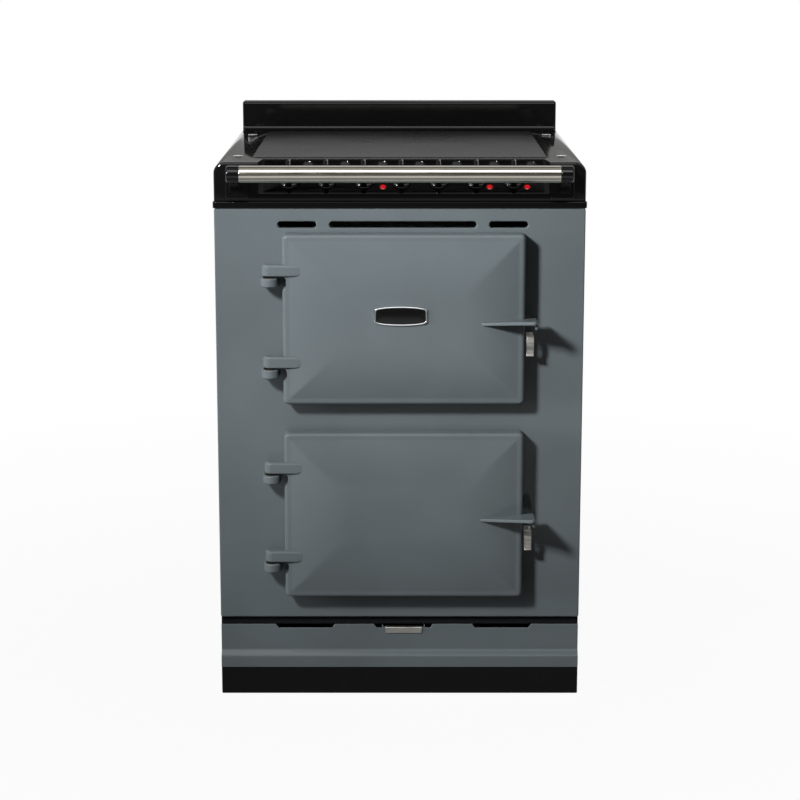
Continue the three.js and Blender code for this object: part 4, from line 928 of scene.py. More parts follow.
def piece(name: str, shape: Skin | bpy.types.Mesh, coats: Coat | Sequence[Coat], body: str = "range_body",
          nodes: Sequence[str] = (), sharp: float = 38.0, bevel: float = 0.0) -> bpy.types.Object:
    """Makes a finished piece, lets it ride on its body and hides the CAD nodes that it replaces.

    Args:
        name: Name of the piece.
        shape: Its skin, or a mesh that is ready.
        coats: One finish, or one for each coat number in the skin.
        body: The CAD body that it moves with.
        nodes: CAD nodes that it replaces.
        sharp: Angle in degrees above which an edge is drawn sharp.
        bevel: Width in millimetres by which sharp edges are rounded, if any.

    Returns:
        The object, riding on its body.
    """
    mesh = mesh_of(name, shape) if isinstance(shape, Skin) else shape
    made = bpy.data.objects.new(name, mesh)
    bpy.context.scene.collection.objects.link(made)
    several = [coats] if isinstance(coats, Coat) else list(coats)
    for coat in several:
        mesh.materials.append(FINISHES.of(coat))
    mesh.shade_smooth()
    if bevel:
        rounding = made.modifiers.new("edges", "BEVEL")
        rounding.width, rounding.segments, rounding.limit_method = bevel * MM, 3, "ANGLE"
        rounding.angle_limit, rounding.harden_normals = math.radians(sharp), True
    else:
        mesh.set_sharp_from_angle(angle=math.radians(sharp))
        made.modifiers.new("normals", "WEIGHTED_NORMAL").keep_sharp = True
    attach(made, body)
    if nodes:
        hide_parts(*nodes)
    log.info("%-28s %7d faces on %s", name, len(mesh.polygons), body)
    return made


# ---- Body --------------------------------------------------------------------------


@dataclass
class Body:
    """Sizes that the body's pieces share."""

    width: float = 596.0
    depth: float = 598.0
    plinth: float = 45.5
    plate_low: float = 134.0
    plate_high: float = 817.0
    plate_thick: float = 12.0
    offset: float = 6.5
    ovens: tuple[tuple[str, float], ...] = (("top", 641.0), ("bottom", 317.0))
    mouth: Pair = (330.0, 215.0)
    hob: float = 891.0

    @property
    def half(self) -> float:
        """Half of the width."""
        return self.width / 2


BODY = Body()


@dataclass
class Base:
    """Plinth casting, screw feet and the stepped lower panel with its slide-out plate."""

    wall: float = 4.0
    flange: float = 30.0
    foot_inset: float = 62.0
    panel_low: float = 45.8
    panel_high: float = 118.5
    step: float = 9.0
    nose_top: float = 65.3
    sheet: float = 3.0
    notch: Pair = (100.0, 6.5)
    notch_spacing: float = 164.0
    slide_level: float = 112.3
    slide_width: float = 62.0
    slide_length: float = 120.0
    slide_thick: float = 1.7
    slide_lip: float = 9.0

    def plinth(self) -> Skin:
        """Rounded rectangle carried round a closed section: wall, then the flange at the floor.

        Returns:
            The plinth.
        """
        top = BODY.plinth
        rows = [(0, 1.2), (0.35, 0.35), (1.2, 0), (self.flange, 0), (self.flange, self.wall),
                (self.wall, self.wall), (self.wall, top), (0.8, top), (0.2, top - 0.3), (0, top - 1)]
        return hoops(BODY.half, BODY.depth / 2, 3.0, rows, Plane.TOP, (0.0, BODY.depth / 2), closed=True)

    def foot(self, x: float, y: float) -> Skin:
        """Turned pad, lock nut and a stem whose radius ripples with the thread.

        Args:
            x: Its place across.
            y: Its place in depth.

        Returns:
            The foot.
        """
        z = np.arange(9.0, BODY.plinth - 0.2, 0.5)
        thread = [(4.7 + 0.3 * math.cos(level * 2 * math.pi / 1.5), level) for level in z.tolist()]
        pad = [(0, 0), (17.6, 0), (19, 0.8), (19, 4.6), (18.2, 5.4), (13, 7), (7, 7.2), (7, 9), *thread,
               (0, thread[-1][1])]
        nut = plate(9.5 * unit_circle(6), 30.0, 7.0, Plane.TOP, near=0.8, far=0.8)
        return together([turned(pad, 32), nut]).moved(x, y)

    def panel_top(self, x: np.ndarray) -> np.ndarray:
        """Height of the panel's upper edge: lower by the notch depth over each notch.

        Each notch's end slopes at 45 degrees and is smoothed by s * s * (3 - 2 s).

        Args:
            x: Places across.

        Returns:
            Height for every x.
        """
        half, deep = self.notch[0] / 2, self.notch[1]
        drop = np.zeros_like(x)
        for shift in (-self.notch_spacing, 0.0, self.notch_spacing):
            share = np.clip((half - np.abs(x - BODY.offset - shift)) / deep, 0.0, 1.0)
            drop = np.maximum(drop, share * share * (3 - 2 * share))
        return self.panel_high - drop * deep

    def panel(self) -> Skin:
        """Section of nose, 45 degree slope and set-back band, carried across at every x.

        Returns:
            The panel.
        """
        half, deep = self.notch[0] / 2, self.notch[1]
        ends = [BODY.offset + shift + side * (half - deep / 2)
                for shift in (-self.notch_spacing, 0.0, self.notch_spacing) for side in (-1, 1)]
        x = np.unique(np.concatenate([[-BODY.half, BODY.half, -BODY.half + 0.8, BODY.half - 0.8]]
                                     + [end + np.linspace(-4.2, 4.2, 15) for end in ends]))
        slope_top = self.nose_top + self.step
        turn = np.linspace(0.0, np.pi / 2, 5)
        bend = np.linspace(0.0, 1.0, 6)[:, None]

        def bent(a: Pair, b: Pair, c: Pair) -> np.ndarray:
            """Quadratic curve from a to c that leaves and arrives along a-b and b-c."""
            p, q, r = (np.asarray(point, float) for point in (a, b, c))
            return (1 - bend) ** 2 * p + 2 * bend * (1 - bend) * q + bend ** 2 * r

        low = self.panel_low
        front = np.concatenate([
            np.array(((self.sheet, low), (1.2, low), (0.35, low + 0.35), (0, low + 1.2))),
            bent((0, self.nose_top - 3), (0, self.nose_top), (2.1, self.nose_top + 2.1)),
            bent((self.step - 1.8, slope_top - 1.8), (self.step, slope_top), (self.step, slope_top + 2.5)),
        ])
        rim = 1.5
        over = np.stack([self.step + rim * (1 - np.cos(turn)), rim * np.sin(turn) - rim], -1)
        back_y = self.step + self.sheet
        rear = np.array(((back_y, slope_top + 1.2), (self.sheet, self.nose_top + 1.2)))
        top = self.panel_top(x)

        def row(points: np.ndarray, from_top: bool) -> np.ndarray:
            """The points for every x, their heights counted from the upper edge if so."""
            z = points[None, :, 1] + (top[:, None] if from_top else np.zeros((len(x), 1)))
            across = np.broadcast_to(x[:, None], z.shape)
            return np.stack([across, np.broadcast_to(points[None, :, 0], z.shape), z], -1)

        back_edge = np.array(((back_y - 0.5, 0.0), (back_y, -0.5)))
        rings = np.concatenate(
            [row(front, False), row(over, True), row(back_edge, True), row(rear, False)], 1)
        return lofted(rings)

    def painted_shade_strip(self) -> Skin:
        """Dark strip set back in the gap above the panel, standing for the shade that the front plate casts
        into the gap: painted shade.
        """
        half = BODY.half - 0.4
        return brick((-half, half), (9.4, 12.1), (self.panel_high + 0.4, BODY.plate_low - FIT), 0.9, 3)

    def slide(self) -> Skin:
        """Bent steel strip: a turned-down lip and a flat plate, with rounded corners.

        Returns:
            The plate.
        """
        z, lip, t = self.slide_level, self.slide_lip, self.slide_thick
        y0 = self.step - FIT - t
        side = [(y0, z - lip), (y0 + t, z - lip), (y0 + t, z), (y0 + self.slide_length, z),
                (y0 + self.slide_length, z + t), (y0, z + t)]
        loop = rounded_corners(side, [0.5, 0.5, 0.5, 0.5, 0.5, 1.9], 5)
        half, corner = self.slide_width / 2, 3.0
        bent = plate(loop, BODY.offset - half, 2 * half, Plane.SIDE, near=0.5, far=0.5, steps=2)

        def corners_off(points: np.ndarray) -> np.ndarray:
            """Pulls the lip's lower corners in along a quarter circle.

            Args:
                points: Points of the bent strip.

            Returns:
                The points as moved.
            """
            made = points.copy()
            down = np.clip((z - lip + corner - points[:, 2]) / corner, 0.0, 1.0)
            room = corner * (1 - np.sqrt(1 - down ** 2))
            reach = half - room
            made[:, 0] = BODY.offset + np.clip(points[:, 0] - BODY.offset, -reach, reach)
            return made

        return bent.mapped(corners_off)

    def runner(self) -> Skin:
        """Folded runner that carries the slide-out plate.

        Returns:
            Floor and two sides.
        """
        half = self.slide_width / 2 + 4
        floor = brick((BODY.offset - half, BODY.offset + half), (12.5, 114.0), (110.0, 112.0), 0.5)
        sides = [brick((BODY.offset + s * half - 1, BODY.offset + s * half + 1),
                       (12.5, 114.0), (110.5, 117.0), 0.5)
                 for s in (-1, 1)]
        return together([floor, *sides])

    def build(self) -> None:
        """Makes the pieces."""
        piece("plinth_casting", self.plinth(), Coat.PLINTH, nodes=["plinth"])
        x, front = BODY.half - self.foot_inset, self.foot_inset
        for row, y in (("front", front), ("back", BODY.depth - front)):
            for side, sign in (("left", -1), ("right", 1)):
                piece(f"screw_foot_{row}_{side}", self.foot(sign * x, y), Coat.ZINC,
                      nodes=[f"levelling_foot_{row}_{side}"])
        piece("stepped_lower_panel", together([self.panel(), self.runner()]), Coat.SLATE,
              nodes=["lower_panel"])
        # Dark strip set back in the gap under the front plate: painted shade.
        piece("gap_shade_strip", self.painted_shade_strip(), Coat.GAP_SHADE)
        piece("pull_out_plate", self.slide(), Coat.STEEL, "slide_out_plate", ["slide_out_plate"])


@dataclass
class Panels:
    """Side sheets, back sheet with louvres and the mains terminal box."""

    sheet: float = 2.0
    fold: float = 18.0
    low: float = 45.8
    high: float = 816.7
    louvre: Pair = (300.0, 9.0)
    louvre_levels: tuple[float, ...] = (700.0, 730.0, 760.0)
    rib_levels: tuple[float, ...] = (270.0, 400.0, 530.0)
    screw: float = 3.6
    screw_x: tuple[float, ...] = (-284.0, -95.0, 95.0, 284.0)
    screw_z: tuple[float, ...] = (62.0, 246.0, 431.0, 616.0, 800.0)
    box_middle: Pair = (170.0, 190.0)
    box_size: Pair = (104.0, 74.0)

    def side(self) -> Skin:
        """C-shaped plan, its outer folds rounded, run up the whole height.

        Returns:
            The right sheet.
        """
        o, i, r = BODY.half, BODY.half - self.sheet, BODY.half - self.fold
        f, b = BODY.plate_thick + FIT, BODY.depth - self.sheet - FIT
        s = self.sheet
        plan = [(o, f), (o, b), (r, b), (r, b - s), (i, b - s), (i, f + s), (r, f + s), (r, f)]
        loop = rounded_corners(plan, [2.6, 2.6, 0.4, 0.4, 0.7, 0.7, 0.4, 0.4], 5)
        return plate(loop, self.low, self.high - self.low, Plane.TOP, near=0.3, far=0.3, steps=2)

    def back(self) -> Skin:
        """Sheet with three open louvres, a terminal window, stiffening swages and screws.

        Returns:
            The sheet with all that is on it.
        """
        middle = (self.low + self.high) / 2
        outer = rounded_loop(BODY.half, (self.high - self.low) / 2, 3.0, (0.0, middle))
        slots = [rounded_loop(self.louvre[0] / 2, self.louvre[1] / 2, 4.4, (0.0, z))
                 for z in self.louvre_levels]
        window = rounded_loop(self.box_size[0] / 2, self.box_size[1] / 2, 3.0, self.box_middle)
        sheet = plate(outer, BODY.depth - self.sheet, self.sheet, Plane.FRONT, [*slots, window], 0.3, 0.6, 2)
        parts = [sheet] + [self.rib(z) for z in self.rib_levels]
        parts += [screw_head(x, BODY.depth, z, self.screw, 1.0)
                  for x in self.screw_x for z in (self.screw_z[0], self.screw_z[-1])]
        parts += [screw_head(x, BODY.depth, z, self.screw, 1.0)
                  for z in self.screw_z[1:-1] for x in (self.screw_x[0], self.screw_x[-1])]
        return together(parts)

    def rib(self, z: float) -> Skin:
        """Stiffening swage on the back: height 1.6 sin(pi s / 2) at the share s of the way in.

        Args:
            z: Height of its middle.

        Returns:
            The swage.
        """
        u = np.linspace(0.0, 1.0, 7)
        rows = [(9.0 * share, BODY.depth + 1.6 * math.sin(math.pi / 2 * share)) for share in u.tolist()]
        rows.insert(0, (0.0, BODY.depth - self.sheet / 2))
        return hoops(220.0, 10.0, 9.9, rows, Plane.FRONT, (0.0, z), least=0.7)

    def terminal(self) -> Skin:
        """Box with a lid line, a cable bush and four lid screws.

        Returns:
            The box.
        """
        x, z = self.box_middle
        w, h = self.box_size[0] / 2 - FIT, self.box_size[1] / 2 - FIT
        inner = BODY.depth - self.sheet - FIT
        body = plate(rounded_loop(w, h, 3.0, (x, z)), inner - 46, 45.5, Plane.FRONT, near=0.6, far=1.0)
        rim = plate(rounded_loop(w + 8, h + 8, 4.0, (x, z)), inner - 2, 2.0, Plane.FRONT, near=0.3, far=0.3)
        lid = plate(rounded_loop(w - 4, h - 4, 3.0, (x, z)), inner - 1, 2.7, Plane.FRONT, near=0.2, far=0.5)
        rows = [(7.5, -3), (12.5, -3), (12.5, -1), (11.5, 0), (8, 0), (7.5, -0.6)]
        bush = tipped(turned(rows, 40), "front")
        bush = Skin(bush.points * np.array((1, -1, 1)), bush.faces).moved(x, BODY.depth + 1.4, z)
        return together([body, rim, lid, bush, *corner_screws(x, inner + 1.6, z, w - 9, h - 9, 2.6)])

    def build(self) -> None:
        """Makes the pieces."""
        right = self.side()
        piece("side_sheet_right", right, Coat.SHEET, nodes=["side_panel_right"])
        piece("side_sheet_left", right.mirrored(), Coat.SHEET, nodes=["side_panel_left"])
        piece("back_sheet", self.back(), Coat.ZINC, nodes=["back_panel"])
        piece("terminal_box", self.terminal(), Coat.PLASTIC, nodes=["terminal_block"])


# ---- Doors and what carries them ---------------------------------------------------


@dataclass
class Hinge:
    """The side hinges: lugs on the front plate, pins and the arms of the doors."""

    x: float = -208.5
    reach: float = 28.0
    heights: Pair = (71.5, -77.5)
    lug_radius: float = 14.5
    lug_height: float = 14.5
    gap: float = 3.0
    knuckle: float = 12.0
    arm_height: float = 19.0
    arm_length: float = 56.0

    def lug(self, top: float) -> Skin:
        """Plan of a half circle and two straight sides, with full rounded edges.

        Args:
            top: Height of its upper face.

        Returns:
            The lug.
        """
        turn = np.linspace(np.pi, 2 * np.pi, 25)
        arc = np.array((self.x, -self.reach)) + self.lug_radius * rays(turn)
        plan = np.concatenate([arc, [[self.x + self.lug_radius, 1.0], [self.x - self.lug_radius, 1.0]]])
        return plate(plan, top - self.lug_height, self.lug_height, Plane.TOP, near=2.6, far=2.6, steps=5)

    def pin(self, top: float) -> Skin:
        """Turned pin with a washer of two leaves in the gap between lug and arm."""
        rows = [(0, -10), (4.3, -10), (4.3, FIT), (9.8, FIT), (10.5, 0.6), (10.5, 1.2), (9.9, 1.5),
                (10.5, 1.8), (10.5, 2.3), (9.8, self.gap - FIT), (4.3, self.gap - FIT), (4.3, 13), (0, 13)]
        return turned(rows, 36).moved(self.x, -self.reach, top)

    def arm(self, bottom: float) -> Skin:
        """Plan from the round knuckle to where the arm dies into the crown, its edges full round.

        Near the far end the height shrinks about the arm's middle by the root of 1 - 0.72 t squared,
        where t runs from nought to one.

        Args:
            bottom: Height of the arm's underside.

        Returns:
            The arm.
        """
        turn = np.linspace(np.pi / 3, 1.5 * np.pi, 28)
        arc = np.array((self.x, -self.reach)) + self.knuckle * rays(turn)
        far, front = self.x + self.arm_length, -self.reach - self.knuckle
        plan = np.concatenate([arc, [[far - 14, front], [far + 2, front + 2],
                                     [far + 2, -self.reach + 4], [self.x + 16, -self.reach + 10]]])
        bar = plate(plan, bottom, self.arm_height, Plane.TOP, near=2.6, far=4.6, steps=6)
        share = np.clip((bar.points[:, 0] - far + 16) / 18, 0.0, 1.0)
        middle = bottom + self.arm_height / 2
        bar.points[:, 2] = middle + (bar.points[:, 2] - middle) * np.sqrt(1 - 0.72 * share ** 2)
        return bar


HINGE = Hinge()


@dataclass
class FrontPlate:
    """Enamelled front casting with oven mouths, vents and hinge lugs."""

    edge: float = 2.2
    vent_x: float = 5.0
    vent_z: float = 790.7
    vent_height: float = 10.5
    vents: tuple[Pair, ...] = ((-170.0, 62.0), (0.0, 236.0), (170.0, 62.0))

    def casting(self) -> Skin:
        """Rounded plate with its openings; every edge is a quarter round of pooled enamel.

        Returns:
            Plate and lugs.
        """
        middle = (BODY.plate_low + BODY.plate_high) / 2
        outer = rounded_loop(BODY.half, (BODY.plate_high - BODY.plate_low) / 2, 3.2, (0.0, middle))
        holes = [rounded_loop(BODY.mouth[0] / 2, BODY.mouth[1] / 2, 12.0, (BODY.offset, z), 8)
                 for _, z in BODY.ovens]
        holes += [rounded_loop(length / 2, self.vent_height / 2, self.vent_height / 2 - 0.1,
                               (self.vent_x + shift, self.vent_z), 8) for shift, length in self.vents]
        plain = plate(outer, 0.0, BODY.plate_thick, Plane.FRONT, holes, self.edge, 0.8, 5)
        lugs = [HINGE.lug(z + height - HINGE.gap) for _, z in BODY.ovens for height in HINGE.heights]
        return together([plain, *lugs])

    def build(self) -> None:
        """Makes the plate and the hinge pins."""
        piece("front_casting", self.casting(), Coat.SLATE, nodes=["front_plate"], sharp=50.0)
        for level, z in BODY.ovens:
            for word, height in zip(("upper", "lower"), HINGE.heights):
                # The washer's darkened brass stands for the shade in the gap between lug and arm: painted
                # shade.
                piece(f"pin_and_washer_{level}_{word}", HINGE.pin(z + height - HINGE.gap), Coat.SHADED_BRASS,
                      nodes=[f"hinge_pin_{level}_{word}"])


@dataclass
class Door:
    """One cast door: crowned face, hinge arms, handle blade, inner skin, rope seal and catch."""

    level: str
    z: float
    width: float = 389.0
    height: float = 277.0
    corner: float = 8.0
    standoff: float = 4.0
    rim: float = 35.0
    lip: float = 11.0
    crown: float = 12.0
    crown_run: float = 110.0
    wall: float = 9.0
    relief: float = 6.0

    @property
    def body(self) -> str:
        """The CAD body of this door."""
        return f"door_{self.level}"

    def crown_at(self, inset: np.ndarray) -> np.ndarray:
        """Rise of the face at an inset: crown * (1 - (1 - share) squared), share from lip to run."""
        share = np.clip((inset - self.lip) / (self.crown_run - self.lip), 0.0, 1.0)
        return self.crown * (1 - (1 - share) ** 2)

    def casting(self) -> Skin:
        """Hoops stepping in from the pocket round the edge and over the crown to the flat.

        Returns:
            The door without its arms and blade.
        """
        turn = np.linspace(0.0, np.pi / 2, 7)
        lip_in = 6.0 * (1 - np.cos(turn))
        lip_out = self.rim - 7.0 + 6.6 * np.sin(turn)
        face = np.concatenate([np.linspace(8.0, self.lip, 3), np.linspace(self.lip, self.crown_run, 30)[1:]])
        face_out = self.rim - 0.4 + 0.4 * np.clip((face - 6.0) / 5.0, 0, 1) + self.crown_at(face)
        inset = np.concatenate([[self.wall, self.wall, 1.2, 0.35, 0.0], lip_in, face])
        reach = np.concatenate([[self.rim - self.wall, self.standoff, self.standoff, self.standoff + 0.35,
                                 self.standoff + 1.2], lip_out, face_out])
        rings = np.stack([
            level_at(rounded_loop(self.width / 2 - i, self.height / 2 - i,
                                  max(self.corner - i, 1.0) + 0.09 * i, (0.0, 0.0), 8, 90), -r)
            for i, r in zip(inset.tolist(), reach.tolist())
        ])
        points = Plane.FRONT.place(rings)
        left = -self.width / 2 + self.relief_at(points[..., 2])
        points[..., 0] = np.maximum(points[..., 0], left)
        return lofted(points).moved(BODY.offset, 0.0, self.z)

    def relief_at(self, z: np.ndarray) -> np.ndarray:
        """Depth of the cut beside the lugs: full between its ends, which slope and are eased.

        Args:
            z: Heights above the door's middle.

        Returns:
            Depth for every height.
        """
        depth = np.zeros_like(z)
        for height in HINGE.heights:
            top, bottom = height, height - HINGE.gap - HINGE.lug_height - 6.0
            share = np.clip(np.minimum((top - z) / 5.0, (z - bottom) / 7.0), 0.0, 1.0)
            depth = np.maximum(depth, share * share * (3 - 2 * share) * self.relief)
        return depth

    def blade(self) -> Skin:
        """Level wedge whose top lies on a plane that rises to the tip, with a turned-down end.

        The plane is z = 3.4 + 0.069 (x - tip) - 0.068 (y + 29).

        Returns:
            The handle blade.
        """
        edge = self.width / 2
        tip = edge + 18.0
        plan = rounded_corners([(tip - 92, -43.0), (tip - 5, -88.0), (tip, -83.0), (tip, -29.0),
                                (edge - 12, -29.0), (tip - 84, -36.0)], [1.0, 4.0, 4.0, 0.5, 0.5, 0.5], 6)
        top = plate(plan, -5.5, 5.5, Plane.TOP, near=1.2, far=2.0, steps=4)

        def leaned(points: np.ndarray) -> np.ndarray:
            """Adds the plane's height at each point."""
            made = points.copy()
            made[:, 2] += 3.4 + 0.069 * (points[:, 0] - tip) - 0.068 * (points[:, 1] + 29.0)
            return made

        corners = [(-79.0, -9.0), (-31.0, -9.0), (-31.0, 2.2), (-79.0, 5.6)]
        side = rounded_corners(corners, [5.0, 1.0, 1.0, 3.0], 5)
        end = plate(side, tip - 4.5, 4.5, Plane.SIDE, near=1.6, far=1.8, steps=4)
        return together([top.mapped(leaned), end]).moved(BODY.offset, 0.0, self.z)

    def badge(self) -> Skin:
        """Barrel-shaped plate: a raised chrome frame round a shallow domed black field.

        Returns:
            Frame in the first coat and field in the second.
        """
        x, z = BODY.offset - 5.0, self.z + 9.5
        face = -(self.rim + self.crown) - FIT
        w, h = 42.5, 16.0
        t = np.linspace(0.0, 1.0, 25)
        bow = np.stack([w * (2 * t - 1), h - 3.2 * (2 * t - 1) ** 2 - 1.6 * (2 * t - 1) ** 6], -1)
        ends = np.array(((-w + 0.2, h - 5.6), (-w, h - 8.5)))
        upper = np.concatenate([bow[::-1][1:-1], ends])
        half_up = np.concatenate([[[w, h - 8.5], [w - 0.2, h - 5.6]], upper])
        outline = np.concatenate([half_up, -half_up]) + np.array((x, z))

        def ring(inset: float, reach: float) -> np.ndarray:
            """The outline drawn in towards its middle by `inset`, at a reach in front.

            Args:
                inset: How far it is drawn in.
                reach: How far it stands out.

            Returns:
                The drawn-in outline.
            """
            middle = np.array((x, z))
            share = np.array(((w - inset) / w, (h - inset) / h))
            loop = (outline - middle) * share + middle
            return level_at(loop, face - reach)

        frame_rows = [(0.4, 0.0), (0.0, 0.5), (0.0, 1.8), (0.5, 2.6), (1.3, 3.0), (2.2, 2.8), (2.8, 2.1),
                      (3.0, 1.2)]
        rim = lofted(Plane.FRONT.place(np.stack([ring(i, r) for i, r in frame_rows]))).coated(0)
        dome = [(2.6, 0.6)] + [(2.6 + 13.0 * s, 1.3 + 0.7 * (1 - (1 - s) ** 2))
                               for s in np.linspace(0, 1, 7).tolist()]
        field_part = lofted(Plane.FRONT.place(np.stack([ring(i, r) for i, r in dome]))).coated(1)
        return together([rim, field_part])

    def inner(self) -> Skin:
        """Pan whose floor carries a pressed panel, seen when the door stands open.

        Returns:
            The inner skin and its screws.
        """
        w, h = self.width / 2 - self.wall - FIT, self.height / 2 - self.wall - FIT
        back = -self.standoff - FIT
        rows = [(0.0, -self.rim + self.wall + FIT), (0.0, back - 1.4), (0.4, back - 0.4), (1.4, back),
                (52.0, back), (54.0, back - 0.5), (58.0, back - 3.5), (60.5, back - 4.2), (90.0, back - 4.4)]
        pan = hoops(w, h, 6.0, rows, Plane.FRONT, (BODY.offset, self.z), steps=5, least=2.0)
        return together([pan, *corner_screws(BODY.offset, back, self.z, w - 7.5, h - 7.5, 3.4)])

    def seal(self) -> Skin:
        """Braided rope: an oval section whose size ripples along a rounded rectangle.

        Returns:
            The rope.
        """
        half_u, half_v = (BODY.mouth[0] + 22) / 2 - 4, (BODY.mouth[1] + 22) / 2 - 4
        loop = rounded_loop(half_u, half_v, 12.0, (BODY.offset, self.z), 10, 60)
        out = shrunk(loop, -1.0) - loop
        count = len(loop)
        angle = np.linspace(0.0, 2 * np.pi, 10, endpoint=False)
        twist = np.arange(count)[:, None] * (2 * np.pi / 3.0)
        ripple = 1.0 - 0.08 * (1 + np.cos(2 * angle[None, :] + twist)) / 2
        flat = loop[:, None] + out[:, None] * (4.0 * ripple * np.cos(angle))[..., None]
        depth = -2.15 + 1.85 * ripple * np.sin(angle)[None, :]
        return lofted(Plane.FRONT.place(np.concatenate([flat, depth[..., None]], -1)), closed=True)

    def catch(self) -> Skin:
        """Sprung strip whose reach waves as 1.5 sin(2.5 pi s), on a foot with a screw.

        Returns:
            Strip, foot, arm and screw.
        """
        x0, width, middle = BODY.offset + self.width / 2 + 3.0, 11.5, self.z - 42.0
        s = np.linspace(0.0, 1.0, 34)
        line = np.stack([-30.0 + 1.5 * np.sin(2.5 * np.pi * s), 34.0 * (s - 0.5)], -1)
        slope = np.gradient(line, axis=0)
        slope /= np.linalg.norm(slope, axis=1, keepdims=True)
        normal = np.stack([-slope[:, 1], slope[:, 0]], -1) * 1.1
        loop = np.concatenate([line - normal, (line + normal)[::-1]])
        area = (loop[:, 0] * np.roll(loop[:, 1], -1) - loop[:, 1] * np.roll(loop[:, 0], -1)).sum()
        strip = plate(loop if area > 0 else loop[::-1], x0, width, Plane.SIDE, near=0.5, far=0.5, steps=2)
        foot = brick((x0, x0 + width), (-FIT - 2.5, -FIT), (-17.0, 17.0), 0.6)
        arm = brick((x0 + 0.4, x0 + width - 0.4), (-29.4, -FIT), (-17.0, -15.2), 0.5)
        screw = screw_head(x0 + width / 2, -FIT - 2.5, 6.0, 3.2, -1.0)
        return together([strip, foot, arm, screw]).moved(0.0, 0.0, middle)

    def build(self) -> None:
        """Makes the door's pieces."""
        parts = [self.casting(), self.blade()] + [HINGE.arm(self.z + height) for height in HINGE.heights]
        piece(f"door_{self.level}_face", together(parts), Coat.SLATE, self.body,
              [f"door_casting_{self.level}"], sharp=45.0)
        piece(f"door_{self.level}_inner_skin", self.inner(), Coat.OVEN, self.body,
              [f"door_liner_{self.level}"])
        piece(f"door_{self.level}_rope", self.seal(), Coat.ROPE, self.body,
              [f"door_seal_{self.level}"], sharp=80)
        if self.level == "top":
            piece("badge_plate", self.badge(), [Coat.CHROME, Coat.PLASTIC], self.body, ["door_badge"])
        piece(f"sprung_catch_{self.level}", self.catch(), Coat.STEEL, nodes=[f"door_catch_{self.level}"])


# ---- Ovens -------------------------------------------------------------------------


